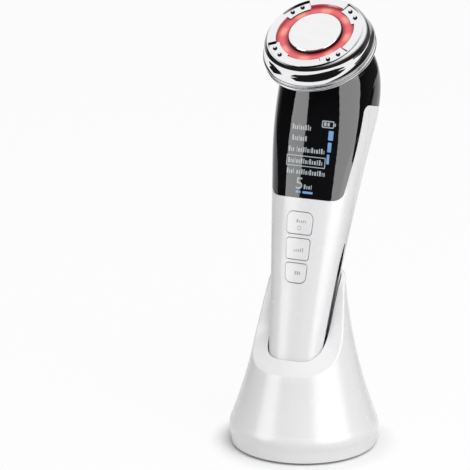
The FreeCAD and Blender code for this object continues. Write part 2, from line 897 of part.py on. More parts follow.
for angle in electrode_angles:
    pocket_width = electrode_width + 2 * math.degrees(electrode_gap / electrode_outer_radius)
    pocket = sector(electrode_inner_radius - electrode_gap, electrode_outer_radius + electrode_gap, angle,
                    pocket_width, 0, bezel_top_height + overrun)
    bezel = bezel.cut(pocket)
    tile = sector(electrode_inner_radius, electrode_outer_radius, angle, electrode_width, electrode_lift,
                  electrode_top_height)
    spot = Rotation(along_z, angle).multVec(Vector(0, -post_place_radius, 0))
    post = Part.makeCylinder(post_radius, post_length, Vector(spot.x, spot.y, electrode_lift), -along_z)
    tile = tile.fuse(post)
    for side in (-1, 1):
        turn = Rotation(along_z, angle + side * nub_angle)
        nub_spot = turn.multVec(Vector(0, -nub_place_radius, 0))
        nub_spot.z = electrode_top_height - nub_radius + nub_rise
        ball = Part.makeSphere(nub_radius, nub_spot)
        tile = tile.fuse(ball.common(sector(electrode_inner_radius, electrode_outer_radius, angle,
                                            electrode_width, electrode_lift, overrun)))
    electrodes.append(tile.removeSplitter())
    way = Part.makeCylinder(post_radius + fit_gap, 2 * overrun, Vector(spot.x, spot.y, overrun), -along_z)
    bezel = bezel.cut(way)

# Light ring, plate, seal, thermoelectric module and heat sink

ring_points = [(ring_inner_radius, 0), (bezel_opening_radius - fit_gap, 0),
               (bezel_opening_radius - fit_gap, -bezel_plate_under - fit_gap),
               (ring_flange_radius, -bezel_plate_under - fit_gap),
               (ring_flange_radius, -bezel_plate_under - fit_gap - ring_flange_height),
               (bezel_opening_radius - fit_gap, -bezel_plate_under - fit_gap - ring_flange_height),
               (bezel_opening_radius - fit_gap, -ring_height), (ring_inner_radius, -ring_height)]
light_ring = turned(ring_points, {})
plate_shoulder = plate_top_height - plate_edge
corner_share = 1 - math.sqrt(0.5)
edge_middle = (plate_radius - plate_edge * corner_share, plate_top_height - plate_edge * corner_share)
dome_middle = (plate_radius / 2, plate_top_height + plate_dome * 3 / 4)
plate_points = [(0, plate_top_height + plate_dome), (plate_radius - plate_edge, plate_top_height),
                (plate_radius, plate_shoulder), (plate_radius, -plate_rim_under),
                (plate_boss_radius, -plate_rim_under), (plate_boss_radius, -plate_under), (0, -plate_under)]
centre_plate = turned(plate_points, {0: dome_middle, 1: edge_middle})
plate_seal = tube(plate_boss_radius + running_gap, ring_inner_radius - running_gap, -seal_bottom,
                  -plate_rim_under - running_gap)
module_top = -plate_under
module_low = Vector(-module_size / 2, -module_size / 2, module_top - module_height)
module = slab(module_low, module_low + Vector(module_size, module_size, module_height))
sink_top = module_top - module_height
sink = Part.makeCylinder(sink_radius, head_floor_top + sink_top, Vector(0, 0, -head_floor_top))
fin_pitch = 2 * sink_radius / sink_fin_count
for index in range(1, sink_fin_count):
    channel_middle = -sink_radius + fin_pitch * index
    channel_half = (fin_pitch - sink_fin_thickness) / 2
    sink = sink.cut(slab(Vector(channel_middle - channel_half, -far, -head_floor_top - overrun),
                         Vector(channel_middle + channel_half, far, sink_top - sink_base_height)))

# Lights and their board

led_board = tube(led_board_inner_radius, led_board_outer_radius, -led_board_top - led_board_thickness,
                 -led_board_top)
led_low = Vector(-led_size / 2, -led_place_radius - led_size / 2, -led_board_top)
one_led = slab(led_low, led_low + Vector(led_size, led_size, led_height))
leds = around(one_led, led_count, 0)

# Base of the head and the screws that hold it to the hood

board_seat = -led_board_top - led_board_thickness
wall_top = -bezel_plate_under - fit_gap
base_points = [(0, -head_floor_bottom), (head_base_radius, -head_floor_bottom),
               (head_base_radius, wall_top - bezel_corner), (head_base_radius - bezel_corner, wall_top),
               (head_base_wall_inner, wall_top), (head_base_wall_inner, board_seat),
               (head_ledge_inner, board_seat), (head_ledge_inner, -head_floor_top), (0, -head_floor_top)]
head_base = turned(base_points, {})
neck_middle = Vector(0, neck_slide, 0)
neck_back = neck_slide + head_screw_place_radius
screw_spot = Vector(0, neck_back, -head_floor_bottom)
boss_height = head_floor_bottom + board_seat
head_boss = Part.makeCylinder(head_boss_radius, boss_height - fit_gap, screw_spot)
for boss in at_angles(head_boss, neck_middle, head_screw_angles):
    head_base = head_base.fuse(boss)
flange_under = -neck_drop - shell_wall
head_screw = screw(small_head_radius, small_head_height, small_screw_radius, head_screw_length,
                   small_head_height / 2)
head_screw_spot = Vector(0, neck_back, flange_under)
head_screw = placed(head_screw, Placement(head_screw_spot, Rotation(along_x, 180)))
head_screws = at_angles(head_screw, neck_middle, head_screw_angles)
screw_hole = Part.makeCylinder(small_screw_radius + running_gap, head_screw_length + fit_gap,
                               Vector(0, neck_back, flange_under))
neck_opening = Part.makeCylinder(neck_opening_radius, 2 * overrun, Vector(0, neck_slide, -neck_drop - overrun))
hood = hood.cut(placed(neck_opening, head_on_handset))
for hole in at_angles(screw_hole, neck_middle, head_screw_angles):
    head_base = head_base.cut(hole)
    hood = hood.cut(placed(hole, head_on_handset))
head_base = head_base.removeSplitter()

# Wiring inside the handset

ribbon_low = head_on_handset.multVec(Vector(0, ribbon_place_radius, -neck_drop - 2 * shell_wall))
ribbon_end = head_on_handset.multVec(Vector(0, ribbon_place_radius, board_seat - running_gap))
ribbon_depth = -board_front - ribbon_board_gap
ribbon_path = bent_path([on_side(ribbon_depth, ribbon_start), on_side(ribbon_depth, ribbon_turn),
                         on_side(-ribbon_rise_depth, ribbon_rise), on_side(ribbon_bend_depth, ribbon_bend),
                         ribbon_low, ribbon_end])
half_thickness = ribbon_thickness / 2
ribbon_section = Part.makePolygon([Vector(-ribbon_half_width, ribbon_depth - half_thickness, ribbon_start),
                                   Vector(ribbon_half_width, ribbon_depth - half_thickness, ribbon_start),
                                   Vector(ribbon_half_width, ribbon_depth + half_thickness, ribbon_start),
                                   Vector(-ribbon_half_width, ribbon_depth + half_thickness, ribbon_start),
                                   Vector(-ribbon_half_width, ribbon_depth - half_thickness, ribbon_start)])
ribbon = ribbon_path.makePipeShell([ribbon_section], True, True)
ribbon_slot = slab(Vector(-ribbon_half_width - fit_gap, ribbon_place_radius - ribbon_slot_half,
                          -neck_drop - overrun),
                   Vector(ribbon_half_width + fit_gap, ribbon_place_radius + ribbon_slot_half, board_seat))
head_base = head_base.cut(ribbon_slot)

# Dock body

belt_high = Vector(dock_belt_radius - dock_belt_over, 0, dock_belt_height + dock_belt_round)
dock_arc = Part.Circle(belt_high, Vector(dock_waist_radius, 0, dock_waist_height),
                       Vector(dock_top_radius, 0, dock_top_height))


def dock_radius(height):
    """The radius of the dock's flaring wall at a height."""
    return dock_arc.Center.x - math.sqrt(dock_arc.Radius ** 2 - (height - dock_arc.Center.z) ** 2)


def rim_point(index, side, reach, drop):
    """A point of the rim's face at one of its angles, some way out from the dock's wall, or in."""
    share = rim_rise_shares[index]
    height = rim_front_height + (rim_back_height - rim_front_height) * share
    slope = math.radians(rim_front_slope + (rim_back_slope - rim_front_slope) * share)
    angle = math.radians(rim_angles[index]) * side
    radius = dock_radius(height) + reach
    return Vector(radius * math.sin(angle), -radius * math.cos(angle), height - reach * math.tan(slope) - drop)


def rim_curve(reach, drop):
    """A closed curve round the rim, from the back round the right to the front and on."""
    last = len(rim_angles) - 1
    right = [rim_point(index, 1, reach, drop) for index in range(last, -1, -1)]
    left = [rim_point(index, -1, reach, drop) for index in range(1, last)]
    curve = Part.BSplineCurve()
    curve.interpolate(Points=right + left, PeriodicFlag=True)
    return curve.toShape()


def above_rim(drop):
    """All that lies above the rim's face, which is lower at the front and rises steeply at both sides."""
    face = Part.makeRuledSurface(rim_curve(rim_reach_out, drop), rim_curve(-rim_reach_in, drop))
    return face.extrude(along_z * far)


def dock_form(inset, rim_drop):
    """The dock as a solid: a short skirt and a flaring cone round the same axis, cut by the sloping rim."""
    low = dock_base_height - inset
    points = [(0, low), (dock_base_radius - inset, low),
              (dock_belt_radius - dock_belt_under - inset, dock_belt_height - dock_belt_round),
              (dock_belt_radius - dock_belt_over - inset, dock_belt_height + dock_belt_round),
              (dock_top_radius - inset, dock_top_height), (0, dock_top_height)]
    form = turned(points, {2: (dock_belt_radius - inset, dock_belt_height),
                           3: (dock_waist_radius - inset, dock_waist_height)})
    return form.cut(above_rim(rim_drop * rim_wall_share))


def edges_at(shape, spot, normal, slack):
    """The edges of a shape that lie in a plane."""
    found = []
    for edge in shape.Edges:
        ends = [edge.valueAt(edge.FirstParameter), edge.valueAt((edge.FirstParameter + edge.LastParameter) / 2)]
        if all(abs((end - spot).dot(normal)) < slack for end in ends):
            found.append(edge)
    return found


def rim_edges(shape):
    """The edges where the rim's face meets the dock's flaring wall."""
    found = []
    for edge in shape.Edges:
        spots = edge.discretize(Number=section_points)
        on_wall = all(abs(math.hypot(spot.x, spot.y) - dock_radius(spot.z)) < running_gap for spot in spots)
        if on_wall and min(spot.z for spot in spots) > rim_front_height - rim_fillet:
            found.append(edge)
    return found


def slot_block(half_width, height, middle, start, end):
    """A block with half-round ends, as wide as an inlet, along Y."""
    low = middle - height / 2
    high = middle + height / 2
    corners = [(-half_width, low), (half_width, low), (half_width, high), (-half_width, high)]
    round_share = 0.49
    wire = outline(corners, [height * round_share] * len(corners), on_front)
    return prism(wire, Vector(0, start, 0), Vector(0, end - start, 0))


inlet_board_top = inlet_board_bottom + inlet_board_thickness
inlet_middle = inlet_board_top + inlet_height / 2
inlet_hole = slot_block(inlet_half_width + inlet_hole_gap, inlet_height + 2 * inlet_hole_gap, inlet_middle,
                        inlet_front, inlet_mouth + overrun)
dock_outer = dock_form(0, 0)
dock_outer = dock_outer.makeFillet(rim_fillet, rim_edges(dock_outer))
dock_outer = dock_outer.cut(inlet_hole)
cup = placed(handle_form(-socket_clearance - cup_wall, -socket_floor_gap - cup_floor), handset_place)
socket = placed(handle_form(-socket_clearance, -socket_floor_gap), handset_place)
dock_void = dock_form(dock_wall, dock_wall).cut(cup)
dock_boss_room = dock_form(dock_wall / 2, dock_wall / 2)
dock_shell = dock_outer.cut(dock_void).cut(socket)

# Base plate, feet, ballast and dock screws

base_plate_top = dock_base_height + base_plate_height
base_plate = Part.makeCylinder(base_plate_radius, base_plate_height, Vector(0, 0, dock_base_height))
foot = Part.makeCylinder(foot_radius, dock_base_height + foot_sink, Vector(0, -foot_place_radius, 0))
foot = foot.makeFillet(foot_edge, edges_at(foot, zero, along_z, running_gap))
middle_foot = foot.copy()
middle_foot.translate(Vector(0, foot_place_radius, 0))
feet = around(foot, foot_count, 0) + [middle_foot]
foot_seat = Part.makeCylinder(foot_radius + running_gap, dock_base_height + foot_sink,
                              Vector(0, -foot_place_radius, 0))
middle_seat = foot_seat.copy()
middle_seat.translate(Vector(0, foot_place_radius, 0))
for seat in around(foot_seat, foot_count, 0) + [middle_seat]:
    base_plate = base_plate.cut(seat)
dock_screw_spot = Vector(0, -dock_screw_place_radius, dock_base_height + dock_head_sink)
dock_screw = screw(dock_head_radius, dock_head_height, dock_screw_radius, dock_screw_length,
                   dock_head_height / 2)
dock_screw = placed(dock_screw, Placement(dock_screw_spot, Rotation(along_x, 180)))
quarter = 360 / foot_count
dock_screws = around(dock_screw, foot_count, quarter / 2)
boss_low = Vector(0, -dock_screw_place_radius, base_plate_top)
dock_boss = Part.makeCylinder(dock_boss_radius, dock_boss_top - base_plate_top, boss_low)
dock_hole = Part.makeCylinder(dock_screw_radius + running_gap, dock_screw_length + fit_gap, dock_screw_spot)
dock_well = Part.makeCylinder(dock_head_radius + fit_gap, far, dock_screw_spot, -along_z)
for index in range(foot_count):
    turn = quarter / 2 + quarter * index
    boss, hole, well = (around(piece, 1, turn)[0] for piece in (dock_boss, dock_hole, dock_well))
    dock_shell = dock_shell.fuse(boss.common(dock_boss_room)).cut(hole)
    base_plate = base_plate.cut(hole).cut(well)
ballast = Part.makeCylinder(ballast_radius, ballast_height, Vector(0, 0, base_plate_top))

# Spring pins, drawn on the handset's own axis under the floor of the cup

board_top_low = -contact_board_top
contact_board = slab(Vector(-contact_board_half_width, -contact_board_half_depth + contact_back,
                            board_top_low - contact_board_thickness),
                     Vector(contact_board_half_width, contact_board_half_depth, board_top_low))
pins = []
barrels = []
springs = []
for side in (-1, 1):
    spot = Vector(side * contact_spread, contact_back, 0)
    barrel = Part.makeCylinder(barrel_radius, contact_board_top - barrel_top,
                               spot - along_z * contact_board_top)
    bore_low = spot - along_z * (contact_board_top - barrel_floor)
    bore_length = contact_board_top - barrel_floor - barrel_top - barrel_roof
    bore = Part.makeCylinder(barrel_bore_radius, bore_length, bore_low)
    mouth = Part.makeCylinder(pin_radius + running_gap, contact_board_top - barrel_floor, bore_low)
    barrels.append(barrel.cut(bore).cut(mouth))
    pin_top = spot - along_z * pin_contact_gap
    foot_top = spot - along_z * pin_foot_drop
    stem = Part.makeCylinder(pin_radius, pin_foot_drop - pin_contact_gap + pin_foot_height,
                             foot_top - along_z * pin_foot_height)
    stem = stem.makeFillet(pin_tip_fillet, edges_at(stem, pin_top, along_z, running_gap))
    pin_foot = Part.makeCylinder(pin_foot_radius, pin_foot_height, foot_top - along_z * pin_foot_height)
    pins.append(stem.fuse(pin_foot).removeSplitter())
    spring_low = bore_low + along_z * (spring_wire_radius + running_gap)
    spring_top = foot_top - along_z * (pin_foot_height + spring_wire_radius + running_gap)
    spring_height = (spring_top - spring_low).Length
    coil_path = Part.makeHelix(spring_height / spring_turns, spring_height, spring_radius)
    wire_section = Part.Wire(Part.makeCircle(spring_wire_radius, Vector(spring_radius, 0, 0), along_y))
    spring = Part.Wire(coil_path).makePipeShell([wire_section], True, True)
    spring.translate(spring_low)
    springs.append(spring)
    way = Part.makeCylinder(barrel_radius + fit_gap, overrun + contact_board_top,
                            spot - along_z * contact_board_top)
    dock_shell = dock_shell.cut(placed(way, handset_place))
contact_screws = []
for side in (-1, 1):
    spot = Vector(side * contact_boss_spread, 0, board_top_low)
    boss = Part.makeCylinder(contact_boss_radius, contact_board_top - cup_floor / 2, spot)
    hole_low = spot - along_z * contact_board_thickness
    hole = Part.makeCylinder(small_screw_radius + running_gap, contact_screw_length + fit_gap, hole_low)
    dock_shell = dock_shell.fuse(placed(boss, handset_place)).cut(placed(hole, handset_place))
    contact_board = contact_board.cut(hole)
    one = screw(small_head_radius, small_head_height, small_screw_radius, contact_screw_length,
                small_head_height / 2)
    contact_screws.append(placed(one, Placement(hole_low, Rotation(along_x, 180))))

# Charging inlet

inlet_board = slab(Vector(-inlet_board_half_width, inlet_board_front, inlet_board_bottom),
                   Vector(inlet_board_half_width, inlet_board_back, inlet_board_top))
inlet_screws = []
for side in (-1, 1):
    spot = Vector(side * inlet_boss_spread, inlet_boss_place, base_plate_top)
    boss = Part.makeCylinder(inlet_boss_radius, inlet_board_bottom - base_plate_top, spot)
    top = Vector(spot.x, spot.y, inlet_board_top)
    hole = Part.makeCylinder(small_screw_radius + running_gap, contact_screw_length + fit_gap, top, -along_z)
    base_plate = base_plate.fuse(boss).cut(hole)
    inlet_board = inlet_board.cut(hole)
    one = screw(small_head_radius, small_head_height, small_screw_radius, contact_screw_length,
                small_head_height / 2)
    inlet_screws.append(placed(one, Placement(top, Rotation())))


inlet = slot_block(inlet_half_width, inlet_height, inlet_middle, inlet_front, inlet_mouth)
inlet = inlet.cut(slot_block(inlet_half_width - inlet_wall, inlet_height - 2 * inlet_wall, inlet_middle,
                             inlet_front + inlet_back_wall, inlet_mouth + overrun))
tongue = slab(Vector(-inlet_tongue_half_width, inlet_front, inlet_middle - inlet_tongue_height / 2),
              Vector(inlet_tongue_half_width, inlet_mouth - inlet_tongue_set_back,
                     inlet_middle + inlet_tongue_height / 2))
inlet = inlet.fuse(tongue).removeSplitter()
# Saving

save("head_bezel", [bezel], head_place)
for index in range(len(electrodes)):
    save("electrode_" + str(index + 1), [electrodes[index]], head_place)
save("light_ring", [light_ring], head_place)
save("centre_plate", [centre_plate], head_place)
save("plate_seal", [plate_seal], head_place)
save("cooling_module", [module], head_place)
save("heat_sink", [sink], head_place)
save("led_board", [led_board], head_place)
save("leds", leds, head_place)
save("head_base", [head_base], head_place)
save("head_screws", head_screws, head_place)
save("front_hood", [hood], handset_place)
save("front_shell", [front_shell], handset_place)
save("back_shell", [back_shell], handset_place)
save("contact_strip_left", [strip_left], handset_place)
save("contact_strip_right", [strip_right], handset_place)
button_names = ("ok", "level", "mode")
for index in range(button_count):
    save(button_names[index] + "_button", [buttons[index]], handset_place)
    save(button_names[index] + "_plunger", [plungers[index]], handset_place)
save("tact_switches", switches, handset_place)
save("shell_screws", shell_screws, handset_place)
save("charge_contacts", contacts, handset_place)
save("main_board", [main_board], handset_place)
save("board_components", [chip, coil, plug], handset_place)
save("chassis", [chassis], handset_place)
save("chassis_screws", chassis_screws, handset_place)
save("display", [display], handset_place)
save("display_holder", [holder], handset_place)
save("vibration_motor", [motor], handset_place)
save("motor_shaft", [motor_shaft], handset_place)
save("eccentric_weight", [weight], handset_place)
save("battery", [battery], handset_place)
save("battery_pad", [pad], handset_place)
save("dock_shell", [dock_shell], world_place)
save("dock_base_plate", [base_plate], world_place)
save("dock_feet", feet, world_place)
save("dock_screws", dock_screws, world_place)
save("dock_ballast", [ballast], world_place)
save("contact_board", [contact_board], handset_place)
save("contact_screws", contact_screws, handset_place)
side_names = ("left", "right")
for index in range(len(pins)):
    save("dock_pin_" + side_names[index], [pins[index]], handset_place)
    save("dock_spring_" + side_names[index], [springs[index]], handset_place)
save("dock_barrels", barrels, handset_place)
save("inlet_board", [inlet_board], world_place)
save("inlet_screws", inlet_screws, world_place)
save("inlet_socket", [inlet], world_place)
save("head_ribbon", [ribbon], handset_place)
save("battery_leads", [lead(battery_lead_route, 1), lead(battery_lead_route, -1)], handset_place)
save("dock_leads", [lead(dock_lead_route, 1), lead(dock_lead_route, -1)], world_place)
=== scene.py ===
# %% [markdown]
# # A face massager in its charging dock
# The real object is a small hand-held massager: a white tapered handle with three keys, a gloss
# black hood over the display, and a tilted chrome head with a glowing ring. It stands in a conical
# white dock. The imported CAD model already holds every solid in place, so this lesson mostly dresses
# it: finishes, the lit marks of the display, the printed marks on the keys, and a plain studio with
# a camera. Only the two springs in the dock are made again.

# %% Start from the imported model
import json
import math
import bmesh
import bpy
from mathutils import Matrix, Quaternion, Vector
from mathutils.bvhtree import BVHTree

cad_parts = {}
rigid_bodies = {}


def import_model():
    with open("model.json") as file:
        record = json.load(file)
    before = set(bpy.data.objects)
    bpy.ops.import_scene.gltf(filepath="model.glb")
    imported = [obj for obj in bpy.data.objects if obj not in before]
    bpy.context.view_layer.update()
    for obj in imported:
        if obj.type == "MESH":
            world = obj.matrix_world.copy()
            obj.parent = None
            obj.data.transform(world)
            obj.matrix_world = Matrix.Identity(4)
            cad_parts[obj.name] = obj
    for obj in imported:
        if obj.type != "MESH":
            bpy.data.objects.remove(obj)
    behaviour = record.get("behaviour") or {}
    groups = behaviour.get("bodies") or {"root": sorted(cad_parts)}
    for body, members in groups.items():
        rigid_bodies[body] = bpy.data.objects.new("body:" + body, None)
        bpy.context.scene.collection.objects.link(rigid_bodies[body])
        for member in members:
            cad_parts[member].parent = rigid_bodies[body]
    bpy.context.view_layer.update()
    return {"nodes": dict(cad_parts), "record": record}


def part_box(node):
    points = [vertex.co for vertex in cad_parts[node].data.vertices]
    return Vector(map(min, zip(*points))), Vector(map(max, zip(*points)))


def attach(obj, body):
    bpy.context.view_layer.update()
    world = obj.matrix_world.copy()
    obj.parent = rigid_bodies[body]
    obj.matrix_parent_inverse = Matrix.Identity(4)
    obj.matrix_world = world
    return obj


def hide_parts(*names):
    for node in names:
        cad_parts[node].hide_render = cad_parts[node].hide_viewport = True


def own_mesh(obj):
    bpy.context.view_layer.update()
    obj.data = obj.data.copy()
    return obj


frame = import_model()
nodes = frame["nodes"]

# %% [markdown]
# ## The camera
# A product photo is taken from far away with a long lens, so that the two sides of the dock stay
# nearly parallel. The camera stands 1.2 m off, a little to the right and above. The lens is shifted
# because the object stands right of the middle of the picture; turning the camera instead would
# tilt the upright lines.

# %% Camera
look_at = Vector((0, 0.010, 0.098))
camera_turn = math.radians(23.133)
camera_rise = math.radians(16.197)
camera_roll = math.radians(0.37)
camera_distance = 1.2
toward_camera = Vector((math.sin(camera_turn) * math.cos(camera_rise),
                        -math.cos(camera_turn) * math.cos(camera_rise),
                        math.sin(camera_rise)))
camera_data = bpy.data.cameras.new("studio_camera")
camera_data.sensor_width = 36
camera_data.lens = 196.0
camera_data.shift_x = -0.1667
camera_data.shift_y = 0.0038
camera_data.clip_start = 0.05
camera_data.clip_end = 30
camera = bpy.data.objects.new("studio_camera", camera_data)
camera.location = look_at + toward_camera * camera_distance
camera.rotation_mode = "QUATERNION"
level_view = (-toward_camera).to_track_quat("-Z", "Y")
camera.rotation_quaternion = level_view @ Quaternion((0, 0, 1), camera_roll)
bpy.context.scene.collection.objects.link(camera)
bpy.context.scene.camera = camera
bpy.context.scene.view_settings.view_transform = "Standard"
print("camera at", [round(v, 3) for v in camera.location])

# %% [markdown]
# ## From a drawing to an object
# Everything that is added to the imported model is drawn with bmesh, which is Blender's mesh editor
# in code. A drawing then becomes a mesh, gets a finish, and goes into the scene as an object. That
# is the same for the floor, the marks and the springs, so one helper does it. The object stays at
# the origin, as the CAD nodes do, with its place in its mesh.

# %% Piece helper


def make_piece(shape, name, material):
    """Turn a finished drawing into an object of the scene."""
    mesh = bpy.data.meshes.new(name)
    shape.to_mesh(mesh)
    shape.free()
    mesh.materials.append(material)
    piece = bpy.data.objects.new(name, mesh)
    bpy.context.scene.collection.objects.link(piece)
    return piece


print("piece helper ready")

# %% [markdown]
# ## Helpers for shader nodes
# A shader is a tree of small nodes, and a few kinds come again and again: one that calculates, and
# one that changes smoothly from one value to another. Adding one by hand takes several lines, so
# these helpers do it in one, and give back the socket to link from. Some surfaces here have no
# Principled shader, so the last helper makes a material without it.

# %% Shader helpers


def calculate(tree, operation, first, second=None):
    """A Math node, with sockets or plain numbers as its inputs."""
    node = tree.nodes.new("ShaderNodeMath")
    node.operation = operation
    for socket, value in zip(node.inputs, (first, second)):
        if isinstance(value, (int, float)):
            socket.default_value = value
        elif value is not None:
            tree.links.new(value, socket)
    return node.outputs[0]


def fade(tree, source, low, high, out_low, out_high):
    """A smooth change from one value to another."""
    node = tree.nodes.new("ShaderNodeMapRange")
    node.interpolation_type = "SMOOTHSTEP"
    node.inputs["From Min"].default_value = low
    node.inputs["From Max"].default_value = high
    node.inputs["To Min"].default_value = out_low
    node.inputs["To Max"].default_value = out_high
    tree.links.new(source, node.inputs["Value"])
    return node.outputs["Result"]


def bare_material(name):
    """A material with only its output node."""
    material = bpy.data.materials.new(name)
    material.use_nodes = True
    material.node_tree.nodes.remove(material.node_tree.nodes["Principled BSDF"])
    return material


print("shader helpers ready")

# %% [markdown]
# ## The floor
# White goods are photographed on a white sweep. A single large disc does, because the camera looks
# down and sees nothing but floor. Light Path tells the camera's own rays and mirror rays apart from
# the rays that carry light, so the floor can look paper white. Close to the dock that white fades
# out by distance, which keeps the dark line of shadow under it and also paints a soft ring of shade
# round the dock.

# %% Floor paper
shadow_reach = 0.0355
white_reach = 0.047
white_share = 0.92
floor_paper = bare_material("floor_paper")
tree = floor_paper.node_tree
paper = tree.nodes.new("ShaderNodeBsdfDiffuse")
paper.inputs["Color"].default_value = (0.9, 0.9, 0.9, 1)
white = tree.nodes.new("ShaderNodeEmission")
white.inputs["Strength"].default_value = 1.0
path = tree.nodes.new("ShaderNodeLightPath")
seen = calculate(tree, "MAXIMUM", path.outputs["Is Camera Ray"], path.outputs["Is Glossy Ray"])
seen = calculate(tree, "MAXIMUM", seen, path.outputs["Is Transmission Ray"])
where = tree.nodes.new("ShaderNodeTexCoord")
from_dock = tree.nodes.new("ShaderNodeVectorMath")
from_dock.operation = "LENGTH"
tree.links.new(where.outputs["Object"], from_dock.inputs[0])
# Painted shade: near the dock the floor loses its white by distance alone, so it is greyer there even
# where it is lit; the real shadow shows as well.
off_dock = fade(tree, from_dock.outputs["Value"], shadow_reach, white_reach, 0.0, white_share)
mixed = tree.nodes.new("ShaderNodeMixShader")
tree.links.new(calculate(tree, "MULTIPLY", seen, off_dock), mixed.inputs["Fac"])
tree.links.new(paper.outputs[0], mixed.inputs[1])
tree.links.new(white.outputs[0], mixed.inputs[2])
tree.links.new(mixed.outputs[0], tree.nodes["Material Output"].inputs["Surface"])
print("floor paper nodes:", len(tree.nodes))

# %% Floor disc
floor_radius = 1.4
floor_drop = 0.00005
shape = bmesh.new()
bmesh.ops.create_circle(shape, cap_ends=True, segments=96, radius=floor_radius)
bmesh.ops.translate(shape, verts=shape.verts, vec=(0, 0, -floor_drop))
floor = make_piece(shape, "studio_floor", floor_paper)
print("floor", floor.dimensions[:2])

# %% [markdown]
# ## Cards on the floor
# Chrome in an all white room looks like paper. Photographers lay black cards just out of view, so
# that metal and gloss black have something to mirror. The bezel faces downwards at the front, so
# what it shows is the floor close to the dock: the cards there give the dark bands between the
# bright ones. The card far to the right darkens the hood's side. Only mirror rays see the cards,
# so they neither show nor shade anything.

# %% Cards
card_drop = 0.00003
card_glow = 0.01
card_corners = {
    "card_front": [(-0.145, -0.042), (-0.145, -0.19), (0.02, -0.27), (0.18, -0.30), (0.32, -0.22),
                   (0.32, -0.08), (0.28, 0.012), (0.12, -0.020), (0.02, -0.046)],
    "card_left": [(-0.62, -0.03), (-0.42, -0.03), (-0.22, -0.005), (-0.22, 0.11), (-0.33, 0.24),
                  (-0.45, 0.24), (-0.62, 0.17)],
    "card_behind": [(0.05, 0.08), (0.14, 0.08), (0.31, 0.19), (0.31, 0.34), (0.05, 0.30)],
    "card_right": [(0.62, 0.08), (1.20, 0.08), (1.20, 1.10), (0.62, 1.10)],
}
card_black = bare_material("card_black")
tree = card_black.node_tree
faint = tree.nodes.new("ShaderNodeEmission")
faint.inputs["Strength"].default_value = card_glow
tree.links.new(faint.outputs[0], tree.nodes["Material Output"].inputs["Surface"])
for name, corners in card_corners.items():
    shape = bmesh.new()
    shape.faces.new([shape.verts.new((x, y, -card_drop)) for x, y in corners])
    bmesh.ops.triangulate(shape, faces=shape.faces[:])
    piece = make_piece(shape, name, card_black)
    piece.visible_camera = False
    piece.visible_diffuse = False
    piece.visible_shadow = False
    piece.visible_transmission = False
print("cards:", list(card_corners))

# %% [markdown]
# ## The room
# Chrome and gloss black show the room more than themselves. Here the room is pale above, half
# bright at the back on the left, and dark behind the camera. A picture of a studio could be wrapped
# round the scene, but three smooth steps are easier to change. Only mirror rays see them: the
# camera sees white, and plain surfaces get one even soft level.

# %% Room
room_dark = 0.015
fill_level = 0.47
world = bpy.data.worlds.new("studio_room")
bpy.context.scene.world = world
world.use_nodes = True
tree = world.node_tree
where = tree.nodes.new("ShaderNodeTexCoord")
way = tree.nodes.new("ShaderNodeSeparateXYZ")
tree.links.new(where.outputs["Generated"], way.inputs[0])
ceiling = fade(tree, way.outputs["Z"], low=0.28, high=0.60, out_low=room_dark, out_high=1.0)
backdrop = fade(tree, way.outputs["Y"], low=0.10, high=0.75, out_low=room_dark, out_high=0.55)
left_share = fade(tree, way.outputs["X"], low=-0.10, high=0.25, out_low=1.0, out_high=0.10)
mirrored = calculate(tree, "MAXIMUM", ceiling, calculate(tree, "MULTIPLY", backdrop, left_share))
path = tree.nodes.new("ShaderNodeLightPath")
mirror_or_fill = tree.nodes.new("ShaderNodeMix")
mirror_or_fill.inputs["A"].default_value = fill_level
tree.links.new(path.outputs["Is Glossy Ray"], mirror_or_fill.inputs["Factor"])
tree.links.new(mirrored, mirror_or_fill.inputs["B"])
camera_or_room = tree.nodes.new("ShaderNodeMix")
camera_or_room.inputs["B"].default_value = 1.0
tree.links.new(path.outputs["Is Camera Ray"], camera_or_room.inputs["Factor"])
tree.links.new(mirror_or_fill.outputs["Result"], camera_or_room.inputs["A"])
tree.nodes["Background"].inputs["Color"].default_value = (1, 1, 1, 1)
tree.links.new(camera_or_room.outputs["Result"], tree.nodes["Background"].inputs["Strength"])
print("room nodes:", len(tree.nodes))

# %% [markdown]
# ## The lamps
# One broad softbox hangs overhead and lights everything, but isn't mirrored. Two smaller boxes
# stand at the sides and are only mirrored: they are the grey stripes that run down the black hood,
# and the soft highlights on the white plastic. Each lamp does only one of the two jobs, because
# then one can be set without changing the other.

# %% Lamps


def softbox(name, place, aim, width, height, power):
    """A rectangular area lamp that looks at a point."""
    data = bpy.data.lights.new(name, "AREA")
    data.shape = "RECTANGLE"
    data.size = width
    data.size_y = height
    data.energy = power
    lamp = bpy.data.objects.new(name, data)
    lamp.location = place
    lamp.visible_camera = False
    lamp.rotation_mode = "QUATERNION"
    lamp.rotation_quaternion = (Vector(aim) - Vector(place)).to_track_quat("-Z", "Y")
    bpy.context.scene.collection.objects.link(lamp)
    return lamp


overhead = softbox("overhead_box", place=(0.60, -0.45, 1.4), aim=(0, 0, 0.1),
                   width=1.2, height=1.2, power=15)
left_strip = softbox("left_strip", place=(-0.37, -0.45, 0.22), aim=(0, 0, 0.15),
                     width=0.30, height=0.44, power=2.6)
right_strip = softbox("right_strip", place=(0.41, -0.155, 0.20), aim=(0, 0, 0.15),
                      width=0.48, height=0.40, power=3.7)
overhead.visible_glossy = False
for lamp in (left_strip, right_strip):
    lamp.visible_diffuse = False
print("lamps:", [lamp.name for lamp in (overhead, left_strip, right_strip)])

# %% [markdown]
# ## A colour between two others
# Most finishes drift between two colours, and a Mix node does that. It keeps one set of sockets for
# each kind of value, and several of them have the same name. So the sockets for colours are picked
# by their place in the list.

# %% Colour helper
mix_start, mix_end, mix_result = 6, 7, 2


